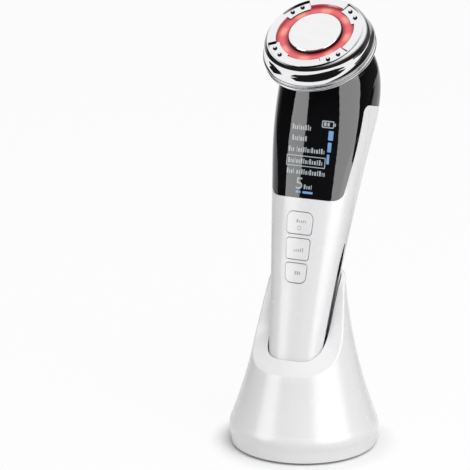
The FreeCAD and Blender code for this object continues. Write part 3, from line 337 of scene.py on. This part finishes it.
def toward(tree, share, start, end):
    """A colour on the way from one to another, each a socket or a plain colour."""
    node = tree.nodes.new("ShaderNodeMix")
    node.data_type = "RGBA"
    tree.links.new(share, node.inputs["Factor"])
    for socket, value in ((node.inputs[mix_start], start), (node.inputs[mix_end], end)):
        if isinstance(value, tuple):
            socket.default_value = value
        else:
            tree.links.new(value, socket)
    return node.outputs[mix_result]


print("colour helper ready")

# %% [markdown]
# ## Two shared surface groups
# No moulded or polished surface is perfectly even. A node group holds that once: a broad drift of
# tone, a finer drift of gloss, and a height for a very low bump. One group serves the plastics. The
# other squeezes its noise along one axis, which leaves streaks as polishing does, and serves the
# metals.

# %% Surface groups
broad_detail = 3
grain_detail = 5
grain_fineness = 6.3
grain_low, grain_high = 0.3, 0.7


def surface_group(name, squeeze):
    """A node group that gives a drifting colour, a drifting roughness and a height."""
    group = bpy.data.node_groups.new(name, "ShaderNodeTree")
    sockets = (("INPUT", "Dark", "NodeSocketColor"), ("INPUT", "Light", "NodeSocketColor"),
               ("INPUT", "Scale", "NodeSocketFloat"), ("INPUT", "Smooth", "NodeSocketFloat"),
               ("INPUT", "Rough", "NodeSocketFloat"), ("OUTPUT", "Color", "NodeSocketColor"),
               ("OUTPUT", "Roughness", "NodeSocketFloat"), ("OUTPUT", "Height", "NodeSocketFloat"))
    for side, label, kind in sockets:
        group.interface.new_socket(label, in_out=side, socket_type=kind)
    given = group.nodes.new("NodeGroupInput")
    made = group.nodes.new("NodeGroupOutput")
    where = group.nodes.new("ShaderNodeTexCoord")
    mapping = group.nodes.new("ShaderNodeMapping")
    mapping.inputs["Scale"].default_value = squeeze
    group.links.new(where.outputs["Object"], mapping.inputs["Vector"])
    noises = []
    grain_scale = calculate(group, "MULTIPLY", given.outputs["Scale"], grain_fineness)
    for detail, scale in ((broad_detail, given.outputs["Scale"]), (grain_detail, grain_scale)):
        noise = group.nodes.new("ShaderNodeTexNoise")
        noise.inputs["Detail"].default_value = detail
        group.links.new(mapping.outputs[0], noise.inputs["Vector"])
        group.links.new(scale, noise.inputs["Scale"])
        noises.append(noise.outputs["Fac"])
    broad, grain = noises
    tone = toward(group, broad, given.outputs["Dark"], given.outputs["Light"])
    gloss = group.nodes.new("ShaderNodeMapRange")
    gloss.inputs["From Min"].default_value = grain_low
    gloss.inputs["From Max"].default_value = grain_high
    group.links.new(grain, gloss.inputs["Value"])
    group.links.new(given.outputs["Smooth"], gloss.inputs["To Min"])
    group.links.new(given.outputs["Rough"], gloss.inputs["To Max"])
    group.links.new(tone, made.inputs["Color"])
    group.links.new(gloss.outputs["Result"], made.inputs["Roughness"])
    group.links.new(grain, made.inputs["Height"])
    return group


moulded = surface_group("moulded_surface", squeeze=(1, 1, 1))
polished = surface_group("polished_surface", squeeze=(1, 1, 7))
print("groups:", [group.name for group in (moulded, polished)])

# %% [markdown]
# ## A finish from a group
# Each finish gets its own Principled shader, so that its sockets stay readable. What is the same
# all over, such as Metallic or IOR, is typed on the shader. What drifts comes from the group.

# %% Finish helper
bump_depth = 0.0001


def finish(name, group, dark, light, scale, smooth, rough, bump, **same_all_over):
    """A material whose colour, roughness and bump come from a surface group."""
    material = bpy.data.materials.new(name)
    material.use_nodes = True
    tree = material.node_tree
    shader = tree.nodes["Principled BSDF"]
    surface = tree.nodes.new("ShaderNodeGroup")
    surface.node_tree = group
    surface.inputs["Dark"].default_value = (*dark, 1)
    surface.inputs["Light"].default_value = (*light, 1)
    surface.inputs["Scale"].default_value = scale
    surface.inputs["Smooth"].default_value = smooth
    surface.inputs["Rough"].default_value = rough
    tree.links.new(surface.outputs["Color"], shader.inputs["Base Color"])
    tree.links.new(surface.outputs["Roughness"], shader.inputs["Roughness"])
    if bump:
        relief = tree.nodes.new("ShaderNodeBump")
        relief.inputs["Strength"].default_value = bump
        relief.inputs["Distance"].default_value = bump_depth
        tree.links.new(surface.outputs["Height"], relief.inputs["Height"])
        tree.links.new(relief.outputs["Normal"], shader.inputs["Normal"])
    for socket, value in same_all_over.items():
        shader.inputs[socket].default_value = value
    return material


finishes = {}
print("finish helper ready")

# %% [markdown]
# ## Finishes that show
# The white shells and the dock are gloss moulded plastic, nearly white. The hood is piano black, so
# its colour is almost nothing and its gloss is everything. The head is chrome plated, and the side
# strips are coloured much darker; the plate in the middle is a little softer. The base plate, the
# feet and the ink of the key marks are matt. A table holds all these looks, so that they can be
# compared, and one loop makes the finishes.

# %% Outer finishes
outer_looks = {
    "white_gloss": dict(group=moulded, dark=(0.85, 0.85, 0.86), light=(0.88, 0.88, 0.89),
                        scale=40, smooth=0.22, rough=0.28, bump=0.02, IOR=1.37),
    "black_gloss": dict(group=moulded, dark=(0.004, 0.004, 0.005), light=(0.007, 0.007, 0.008),
                        scale=30, smooth=0.015, rough=0.035, bump=0, IOR=1.46),
    "chrome_trim": dict(group=polished, dark=(0.84, 0.845, 0.86), light=(0.90, 0.90, 0.91),
                        scale=60, smooth=0.02, rough=0.06, bump=0, Metallic=1.0),
    "plate_metal": dict(group=polished, dark=(0.86, 0.86, 0.87), light=(0.93, 0.93, 0.93),
                        scale=90, smooth=0.10, rough=0.17, bump=0.01, Metallic=1.0),
    "dark_chrome": dict(group=polished, dark=(0.045, 0.045, 0.05), light=(0.075, 0.075, 0.08),
                        scale=120, smooth=0.20, rough=0.30, bump=0.01, Metallic=1.0),
    "white_plastic": dict(group=moulded, dark=(0.72, 0.72, 0.72), light=(0.78, 0.78, 0.78),
                          scale=60, smooth=0.40, rough=0.55, bump=0.10),
    "soft_rubber": dict(group=moulded, dark=(0.030, 0.030, 0.032), light=(0.055, 0.055, 0.057),
                        scale=200, smooth=0.60, rough=0.80, bump=0.30),
    "key_ink": dict(group=moulded, dark=(0.36, 0.36, 0.37), light=(0.46, 0.46, 0.47),
                    scale=500, smooth=0.45, rough=0.60, bump=0.05),
}
for name, look in outer_looks.items():
    finishes[name] = finish(name, **look)
print("outer finishes:", len(finishes))

# %% [markdown]
# ## Finishes inside
# Nobody sees the inner pieces until the part is opened, but each keeps a believable finish: matt
# black mounts, pressed steel, extruded aluminium, gilded contacts, a wrapped cell, wire covers and
# green boards.

# %% Inner finishes
inner_looks = {
    "black_plastic": dict(group=moulded, dark=(0.020, 0.020, 0.020), light=(0.040, 0.040, 0.040),
                          scale=120, smooth=0.45, rough=0.62, bump=0.20),
    "ceramic_white": dict(group=moulded, dark=(0.74, 0.73, 0.70), light=(0.84, 0.83, 0.80),
                          scale=300, smooth=0.50, rough=0.70, bump=0.15),
    "led_lens": dict(group=moulded, dark=(0.86, 0.80, 0.62), light=(0.95, 0.90, 0.76),
                     scale=400, smooth=0.08, rough=0.16, bump=0),
    "sink_aluminium": dict(group=polished, dark=(0.62, 0.63, 0.64), light=(0.78, 0.79, 0.80),
                           scale=220, smooth=0.26, rough=0.42, bump=0.08, Metallic=1.0),
    "steel": dict(group=polished, dark=(0.50, 0.50, 0.51), light=(0.66, 0.66, 0.67),
                  scale=200, smooth=0.20, rough=0.36, bump=0.06, Metallic=1.0),
    "gold_contact": dict(group=polished, dark=(0.80, 0.58, 0.20), light=(0.92, 0.72, 0.32),
                         scale=260, smooth=0.12, rough=0.22, bump=0.02, Metallic=1.0),
    "display_glass": dict(group=moulded, dark=(0.006, 0.008, 0.014), light=(0.012, 0.014, 0.022),
                          scale=50, smooth=0.03, rough=0.06, bump=0),
    "battery_wrap": dict(group=moulded, dark=(0.05, 0.16, 0.40), light=(0.08, 0.22, 0.50),
                         scale=150, smooth=0.28, rough=0.40, bump=0.10),
    "wire_cover": dict(group=moulded, dark=(0.30, 0.025, 0.025), light=(0.42, 0.045, 0.045),
                       scale=300, smooth=0.35, rough=0.48, bump=0.08),
    "board_green": dict(group=moulded, dark=(0.010, 0.11, 0.045), light=(0.018, 0.16, 0.065),
                        scale=120, smooth=0.25, rough=0.40, bump=0.05),
}
for name, look in inner_looks.items():
    finishes[name] = finish(name, **look)
print("finishes so far:", len(finishes))

# %% [markdown]
# ## The circuit boards
# A board is a green lacquer over copper. A brick pattern with thin joints reads as tracks at this
# size, so no drawing is needed.

# %% Board tracks
track_scale = 420
track_width = 0.06
track_green = (0.05, 0.26, 0.10, 1)
tree = finishes["board_green"].node_tree
where = tree.nodes.new("ShaderNodeTexCoord")
tracks = tree.nodes.new("ShaderNodeTexBrick")
tracks.inputs["Scale"].default_value = track_scale
tracks.inputs["Mortar Size"].default_value = track_width
tree.links.new(where.outputs["Object"], tracks.inputs["Vector"])
lacquer = toward(tree, tracks.outputs["Fac"], tree.nodes["Group"].outputs["Color"], track_green)
tree.links.new(lacquer, tree.nodes["Principled BSDF"].inputs["Base Color"])
print("board nodes:", len(tree.nodes))

# %% [markdown]
# ## The glowing ring
# A frosted red ring is lit from below by eight small lamps, so it is pink with paler warm spots,
# and deep red at its two edges, where less light comes through; there its frosted colour is also
# darkened, as painted shade where the plate and the bezel rise beside it. The spots and the edges
# follow the head's axis, which leans forward. So a Mapping node first turns the coordinates into
# the head's own frame, with its zero in the middle of the ring.

# %% Ring coordinates
head_tilt = math.radians(33.3)
head_axis = Vector((0, -math.sin(head_tilt), math.cos(head_tilt)))
ring_low, ring_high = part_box("light_ring")
ring_middle = (ring_low + ring_high) / 2
ring_light = finish("ring_light", moulded, dark=(0.55, 0.035, 0.045), light=(0.66, 0.06, 0.07),
                    scale=160, smooth=0.18, rough=0.28, bump=0.02)
tree = ring_light.node_tree
where = tree.nodes.new("ShaderNodeTexCoord")
in_head = tree.nodes.new("ShaderNodeMapping")
in_head.vector_type = "TEXTURE"
in_head.inputs["Location"].default_value = ring_middle
in_head.inputs["Rotation"].default_value = (head_tilt, 0, 0)
tree.links.new(where.outputs["Object"], in_head.inputs["Vector"])
flat = tree.nodes.new("ShaderNodeSeparateXYZ")
tree.links.new(in_head.outputs[0], flat.inputs[0])
across, along = flat.outputs["X"], flat.outputs["Y"]
print("ring middle:", [round(v, 4) for v in ring_middle])

# %% [markdown]
# ## Spots and edges of the ring
# Eight real light sources could make the spots, but a calculated glow is cleaner and quicker to
# render. The cosine of eight times the angle has eight waves around the circle, and a power makes
# them narrow. The distance from the axis gives the edges.

# %% Ring spots and edges
lamps_in_ring = 8
spot_sharpness = 2.5
turn = calculate(tree, "ARCTAN2", along, across)
waves = calculate(tree, "COSINE", calculate(tree, "MULTIPLY", turn, lamps_in_ring))
bright = fade(tree, waves, low=-1, high=1, out_low=0, out_high=1)
spots = calculate(tree, "POWER", bright, spot_sharpness)
squares = [calculate(tree, "MULTIPLY", socket, socket) for socket in (across, along)]
from_axis = calculate(tree, "SQRT", calculate(tree, "ADD", *squares))
inner_edge = fade(tree, from_axis, low=0.0130, high=0.0152, out_low=1.0, out_high=0.0)
outer_edge = fade(tree, from_axis, low=0.0160, high=0.0184, out_low=0.0, out_high=0.85)
edges = calculate(tree, "MAXIMUM", inner_edge, outer_edge)
print("spots:", lamps_in_ring)

# %% Ring colours
shaded_edge_red = (0.26, 0.012, 0.020, 1)
pink_glow = (0.56, 0.20, 0.22, 1)
warm_spot = (1.0, 0.70, 0.52, 1)
edge_glow = (0.30, 0.040, 0.055, 1)
ring_strength = 0.38
# Painted shade: the frosted colour turns deep red towards both edges, where the plate and the bezel
# rise beside the ring.
frosted = toward(tree, edges, tree.nodes["Group"].outputs["Color"], shaded_edge_red)
glow = toward(tree, edges, toward(tree, spots, pink_glow, warm_spot), edge_glow)
shader = tree.nodes["Principled BSDF"]
tree.links.new(frosted, shader.inputs["Base Color"])
tree.links.new(glow, shader.inputs["Emission Color"])
shader.inputs["Emission Strength"].default_value = ring_strength
finishes["ring_light"] = ring_light
print("ring nodes:", len(tree.nodes))

# %% [markdown]
# ## The sides of the electrodes and the plate
# In a real room the small domes on the electrodes mirror dark things close by, and show as dark
# dots. This plain studio has only white there, so the finish darkens them instead. The dot product
# of the surface's own direction with the head's axis is 1 on the flats and 0 on a wall, so it says
# where a surface is steep. The plate's rim gets the same, a little lighter.

# %% Steep sides


def darken_sides(material, dark_below, plain_above, dark):
    """Paint a dark reflection into a metal finish where it turns away from the head's axis."""
    tree = material.node_tree
    where = tree.nodes.new("ShaderNodeTexCoord")
    facing = tree.nodes.new("ShaderNodeVectorMath")
    facing.operation = "DOT_PRODUCT"
    facing.inputs[1].default_value = head_axis
    tree.links.new(where.outputs["Normal"], facing.inputs[0])
    sides = fade(tree, facing.outputs["Value"], dark_below, plain_above, 1.0, 0.0)
    shaded = toward(tree, sides, tree.nodes["Group"].outputs["Color"], dark)
    tree.links.new(shaded, tree.nodes["Principled BSDF"].inputs["Base Color"])


# Painted dark reflections: on the electrodes' domes and walls, and more lightly on the plate's rim.
finishes["electrode_chrome"] = finish("electrode_chrome", **outer_looks["chrome_trim"])
darken_sides(finishes["electrode_chrome"], dark_below=0.80, plain_above=0.95,
             dark=(0.03, 0.03, 0.033, 1))
darken_sides(finishes["plate_metal"], dark_below=0.30, plain_above=0.90,
             dark=(0.16, 0.14, 0.14, 1))
print("steep sides are dark on: electrode_chrome, plate_metal")

# %% [markdown]
# ## Dress the CAD nodes
# The record names a material slot for every node, so one loop dresses them all. The two contact
# strips are coloured much darker than the head, and the electrodes carry painted dark reflections on
# their steep sides, so these get finishes of their own.

# %% Dress the nodes
electrodes = ["electrode_" + str(number) for number in range(1, 5)]
slot_of = {piece["node"]: piece["material_slot"] for piece in frame["record"]["subparts"]}
own_finish = {"contact_strip_left": "dark_chrome", "contact_strip_right": "dark_chrome"}
own_finish.update({name: "electrode_chrome" for name in electrodes})
for name, node in nodes.items():
    node.data.materials.clear()
    node.data.materials.append(finishes[own_finish.get(name, slot_of[name])])
print("dressed:", len(nodes), "with", len(set(slot_of.values())), "slots")

# %% [markdown]
# ## Flat marks laid on a curved piece
# The display shines through the hood, and the keys are pad printed, so all these marks follow a
# curved surface. A mark is drawn flat first, in millimetres across and along the handle. A flat
# sheet would cut through the curve, so it is sliced into squares, and each corner is then dropped
# along the line of sight of someone in front of the handle until it meets the piece. A thin wall at
# the end makes it a closed skin.

# %% From a flat drawing to a skin
joints = {joint["name"]: joint for joint in frame["record"]["behaviour"]["joints"]}
along_handle = Vector(joints["handset_lift"]["axis"])
into_handle = Vector(joints["ok_press"]["axis"])
handle_foot = Vector((0, -0.01718, 0.0171))
mm_in_metre = 1000
sight_distance = 0.1
skin_lift = 0.00003
skin_wall = 0.00004
slice_step = 1.0
slice_snap = 0.00001


def slice_up(shape):
    """Cut a flat drawing into small squares."""
    for axis in range(2):
        spots = [vert.co[axis] for vert in shape.verts]
        cut = math.ceil(min(spots) / slice_step) * slice_step
        while cut < max(spots):
            place = Vector((cut, 0, 0)) if axis == 0 else Vector((0, cut, 0))
            everything = shape.verts[:] + shape.edges[:] + shape.faces[:]
            bmesh.ops.bisect_plane(shape, geom=everything, dist=slice_snap, plane_co=place,
                                   plane_no=place.normalized())
            cut += slice_step


def lay_on(shape, node, look, body, name):
    """Lay a flat drawing on a CAD node, and make it a piece that rides with a body."""
    slice_up(shape)
    carrier = BVHTree.FromPolygons([vert.co for vert in nodes[node].data.vertices],
                                   [face.vertices for face in nodes[node].data.polygons])
    for vert in shape.verts:
        start = handle_foot + Vector((vert.co.x / mm_in_metre, 0, 0))
        start = start + along_handle * (vert.co.y / mm_in_metre) - into_handle * sight_distance
        spot = carrier.ray_cast(start, into_handle)[0]
        vert.co = spot - into_handle * skin_lift
    bmesh.ops.solidify(shape, geom=shape.faces[:], thickness=skin_wall)
    bmesh.ops.recalc_face_normals(shape, faces=shape.faces[:])
    piece = make_piece(shape, name, finishes[look])
    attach(piece, body)
    return piece


lean = along_handle.angle(Vector((0, 0, 1)))
print("handle leans", round(math.degrees(lean), 1), "degrees")

# %% [markdown]
# ## The parts that marks are drawn from
# Bars, frames and rings do for everything here. A bar is a one-face grid with its corners bevelled.
# A frame is a bar whose face is inset and whose middle is deleted, which keeps the line the same
# width all round. A row of bars of a few widths and heights makes a line of the menu.

# %% Bars, frames and rings
block_widths = (0.85, 0.5, 0.75, 0.34, 0.8, 0.6)
block_heights = (1.0, 0.72, 0.72, 1.0, 0.72, 0.72, 0.95)
block_corner = 0.16
block_gap = 0.46
wide_gap = 1.3
least_room = 0.4


def bar(shape, left, right, low, high, corner):
    """A flat bar with round corners."""
    verts = bmesh.ops.create_grid(shape, x_segments=1, y_segments=1, size=0.5)["verts"]
    bmesh.ops.scale(shape, verts=verts, vec=(right - left, high - low, 1))
    bmesh.ops.translate(shape, verts=verts, vec=((left + right) / 2, (low + high) / 2, 0))
    made = bmesh.ops.bevel(shape, geom=verts, offset=corner, affect="VERTICES", segments=3,
                           profile=0.5, material=-1)
    return made["verts"][0].link_faces[0]


def hollow(shape, face, line):
    """Keep only a line round the edge of a face."""
    bmesh.ops.inset_region(shape, faces=[face], thickness=line, use_boundary=True,
                           use_even_offset=True)
    bmesh.ops.delete(shape, geom=[face], context="FACES")


def ring(shape, across, along, radius, line):
    """A flat ring."""
    made = bmesh.ops.create_circle(shape, cap_ends=True, segments=28, radius=radius,
                                   matrix=Matrix.Translation((across, along, 0)))
    hollow(shape, made["verts"][0].link_faces[0], line)


def block_row(shape, left, right, base, tall, gap_after=None):
    """A row of small blocks, with a wider gap after one of them where a number is given."""
    across = left
    count = 0
    while across < right - least_room:
        width = min(block_widths[count % len(block_widths)], right - across)
        top = base + tall * block_heights[count % len(block_heights)]
        bar(shape, across, across + width, base, top, block_corner)
        across += width + (wide_gap if count == gap_after else block_gap)
        count += 1


print("drawing helpers ready")

# %% [markdown]
# ## Light of the display
# The lit marks are part of a display under smoked plastic: they glow by themselves, and the gloss
# of the hood lies over them. So the shader is black and glossy, as the hood is, and only its
# emission has a colour. A slow noise makes the backlight a little uneven.

# %% Lit finishes
hood_black = (0.005, 0.005, 0.006, 1)


def lit(name, dim, bright, strength):
    """A glossy black finish with an uneven glow."""
    material = finish(name, moulded, dark=dim, light=bright, scale=260, smooth=0.02, rough=0.04,
                      bump=0, IOR=1.33)
    tree = material.node_tree
    shader = tree.nodes["Principled BSDF"]
    tree.links.remove(shader.inputs["Base Color"].links[0])
    shader.inputs["Base Color"].default_value = hood_black
    tree.links.new(tree.nodes["Group"].outputs["Color"], shader.inputs["Emission Color"])
    shader.inputs["Emission Strength"].default_value = strength
    return material


finishes["lit_white"] = lit("lit_white", dim=(0.50, 0.56, 0.60), bright=(0.72, 0.78, 0.82),
                            strength=0.62)
finishes["lit_blue"] = lit("lit_blue", dim=(0.16, 0.36, 0.74), bright=(0.34, 0.58, 0.92),
                           strength=0.75)
print("lit finishes ready")

# %% [markdown]
# ## The menu
# The display has a short menu of five lines, and the fourth has a frame because it is chosen. At
# this size a row of plain blocks reads as a line, so blocks make all five.

# %% Menu lines
menu_rows = (
    dict(left=-7.7, right=1.7, base=134.4, tall=2.5),
    dict(left=-7.3, right=0.6, base=129.3, tall=2.5),
    dict(left=-8.8, right=9.2, base=124.2, tall=2.4, gap_after=2),
    dict(left=-8.5, right=9.0, base=118.9, tall=2.4),
    dict(left=-8.8, right=10.0, base=114.0, tall=2.4, gap_after=3),
)
shape = bmesh.new()
for row in menu_rows:
    block_row(shape, **row)
chosen = bar(shape, left=-9.5, right=9.9, low=117.6, high=122.6, corner=0.35)
hollow(shape, chosen, line=0.36)
menu = lay_on(shape, "front_hood", "lit_white", "handset", "display_menu")
print("menu faces:", len(menu.data.polygons))

# %% [markdown]
# ## The digit
# One digit gives the minutes, and it is the only sign on the display. It could be built from bars,
# but a text object already has the right curves. It is made a mesh first, then scaled to its size
# in millimetres and put in its place.

# %% Digit
digit_width, digit_height = 3.26, 5.3
digit_place = (-3.4, 107.1, 0)
digit_weld = 0.0001
digit = bpy.data.curves.new("minutes", "FONT")
digit.body = "5"
digit_object = bpy.data.objects.new("minutes", digit)
digit_mesh = bpy.data.meshes.new_from_object(digit_object)
drawn = bmesh.new()
drawn.from_mesh(digit_mesh)
across = [vert.co.x for vert in drawn.verts]
along = [vert.co.y for vert in drawn.verts]
to_size = (digit_width / (max(across) - min(across)), digit_height / (max(along) - min(along)), 1)
bmesh.ops.translate(drawn, verts=drawn.verts, vec=(-min(across), -min(along), 0))
bmesh.ops.scale(drawn, verts=drawn.verts, vec=to_size)
bmesh.ops.translate(drawn, verts=drawn.verts, vec=digit_place)
bmesh.ops.remove_doubles(drawn, verts=drawn.verts, dist=digit_weld)
drawn.to_mesh(digit_mesh)
drawn.free()
bpy.data.objects.remove(digit_object)
print("digit corners:", len(digit_mesh.vertices))

# %% [markdown]
# ## The gauge and the minutes
# A cell gauge stands at the upper right: a frame, its knob, and two bars for the charge. The digit
# and a short row of blocks stand at the bottom. All of it is the same white, so it is one piece.

# %% Cell gauge and minutes
shape = bmesh.new()
cell = bar(shape, left=6.8, right=12.2, low=136.4, high=139.7, corner=0.5)
hollow(shape, cell, line=0.45)
bar(shape, left=12.3, right=12.9, low=137.4, high=138.7, corner=0.15)
bar(shape, left=7.7, right=8.9, low=137.2, high=138.9, corner=0.2)
bar(shape, left=9.3, right=10.3, low=137.2, high=138.9, corner=0.2)
block_row(shape, left=0.7, right=5.2, base=107.4, tall=2.0)
shape.from_mesh(digit_mesh)
gauge = lay_on(shape, "front_hood", "lit_white", "handset", "display_gauge")
print("gauge faces:", len(gauge.data.polygons))

# %% [markdown]
# ## The level bars
# Three blue bars under the gauge get narrower downwards. A short and a long one lie under the
# minutes. They have another colour than the menu, so they are a piece of their own.

# %% Level bars
level_bars = (
    dict(left=10.2, right=12.3, low=130.9, high=135.2, corner=0.25),
    dict(left=10.3, right=11.9, low=125.4, high=129.8, corner=0.25),
    dict(left=10.3, right=11.4, low=119.9, high=124.3, corner=0.25),
    dict(left=-3.2, right=-0.7, low=105.3, high=106.3, corner=0.2),
    dict(left=0.3, right=5.2, low=105.3, high=106.3, corner=0.2),
)
shape = bmesh.new()
for level_bar in level_bars:
    bar(shape, **level_bar)
levels = lay_on(shape, "front_hood", "lit_blue", "handset", "display_levels")
print("level faces:", len(levels.data.polygons))

# %% [markdown]
# ## Printed marks on the keys
# The keys carry small grey marks: a row of blocks and a ring on the upper key, rising bars on the
# middle one, and three short bars on the lower one. They are pad printed, so they are thin skins of
# matt ink that move with the keys.

# %% Key marks
mark_corner = 0.12
rising_bars, rising_pitch, rising_step = 5, 1.05, 0.28
short_bars, short_pitch = 3, 1.0

shape = bmesh.new()
block_row(shape, left=-1.4, right=3.3, base=91.7, tall=1.4)
ring(shape, across=0.2, along=89.3, radius=0.95, line=0.22)
ok_mark = lay_on(shape, "ok_button", "key_ink", "ok_button_body", "ok_mark")
shape = bmesh.new()
for step in range(rising_bars):
    across = step * rising_pitch
    bar(shape, left=-1.7 + across, right=-1.15 + across, low=78.2, high=78.9 + step * rising_step,
        corner=mark_corner)
level_mark = lay_on(shape, "level_button", "key_ink", "level_button_body", "level_mark")
shape = bmesh.new()
for step in range(short_bars):
    across = step * short_pitch
    bar(shape, left=-0.3 + across, right=0.35 + across, low=67.6, high=69.1, corner=mark_corner)
mode_mark = lay_on(shape, "mode_button", "key_ink", "mode_button_body", "mode_mark")
print("key marks:", [mark.name for mark in (ok_mark, level_mark, mode_mark)])

# %% [markdown]
# ## The springs of the pins
# Two sprung pins in the dock's cup carry the charge. When the handset sits down, a pin can sink
# 0.8 mm into its barrel, and its spring gets that much shorter. A rigid coil would then stand in
# the pin's foot. Each spring is wound again here in the place of the imported one: a small circle
# is spun round the pin's axis and rises a little at each step.

# %% Springs
spring_turns = 7
steps_per_turn = 24
wire_sides = 8
wire_radius = 0.00013
spring_frame = Matrix((Vector((1, 0, 0)), into_handle, along_handle)).transposed().to_4x4()


def wind_spring(node, name):
    """Wind a spring in the place of a packed one."""
    spots = [spring_frame.inverted() @ vert.co for vert in nodes[node].data.vertices]
    low = Vector([min(spot[axis] for spot in spots) for axis in range(3)])
    high = Vector([max(spot[axis] for spot in spots) for axis in range(3)])
    foot = Vector(((low.x + high.x) / 2, (low.y + high.y) / 2, low.z))
    coil_radius = (high.x - low.x) / 2 - wire_radius
    steps = spring_turns * steps_per_turn
    rise = (high.z - low.z - 2 * wire_radius) / steps
    upright = Matrix.Rotation(math.radians(90), 4, "X")
    start = Matrix.Translation((coil_radius, 0, wire_radius)) @ upright
    shape = bmesh.new()
    bmesh.ops.create_circle(shape, segments=wire_sides, radius=wire_radius, matrix=start)
    bmesh.ops.spin(shape, geom=shape.verts[:] + shape.edges[:], cent=(0, 0, 0), axis=(0, 0, 1),
                   dvec=(0, 0, rise), angle=math.radians(360) * spring_turns, steps=steps)
    open_ends = [edge for edge in shape.edges if edge.is_boundary]
    bmesh.ops.holes_fill(shape, edges=open_ends, sides=0)
    bmesh.ops.recalc_face_normals(shape, faces=shape.faces[:])
    in_place = spring_frame @ Matrix.Translation(foot)
    bmesh.ops.transform(shape, matrix=in_place, verts=shape.verts[:])
    spring = make_piece(shape, name, finishes["steel"])
    spring.data.shade_smooth()
    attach(spring, "dock")
    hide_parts(node)
    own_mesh(spring)


for side in ("left", "right"):
    wind_spring("dock_spring_" + side, "pin_spring_" + side)

# %% [markdown]
# ## Keep the strips off the chrome
# The two boxes at the sides are bright, because black plastic mirrors only a few percent of their
# light. Chrome mirrors nearly all of it, so on the head they would be hard white patches. Light
# linking lists the pieces that a lamp reaches: here that is everything but the chrome of the head,
# which then mirrors only the room and the cards.

# %% What the strips reach
head_chrome = ["head_bezel"] + electrodes
strip_reach = bpy.data.collections.new("strip_reach")
for piece in bpy.context.scene.objects:
    if piece.type == "MESH" and piece.name not in head_chrome:
        strip_reach.objects.link(piece)
for lamp in (left_strip, right_strip):
    lamp.light_linking.receiver_collection = strip_reach
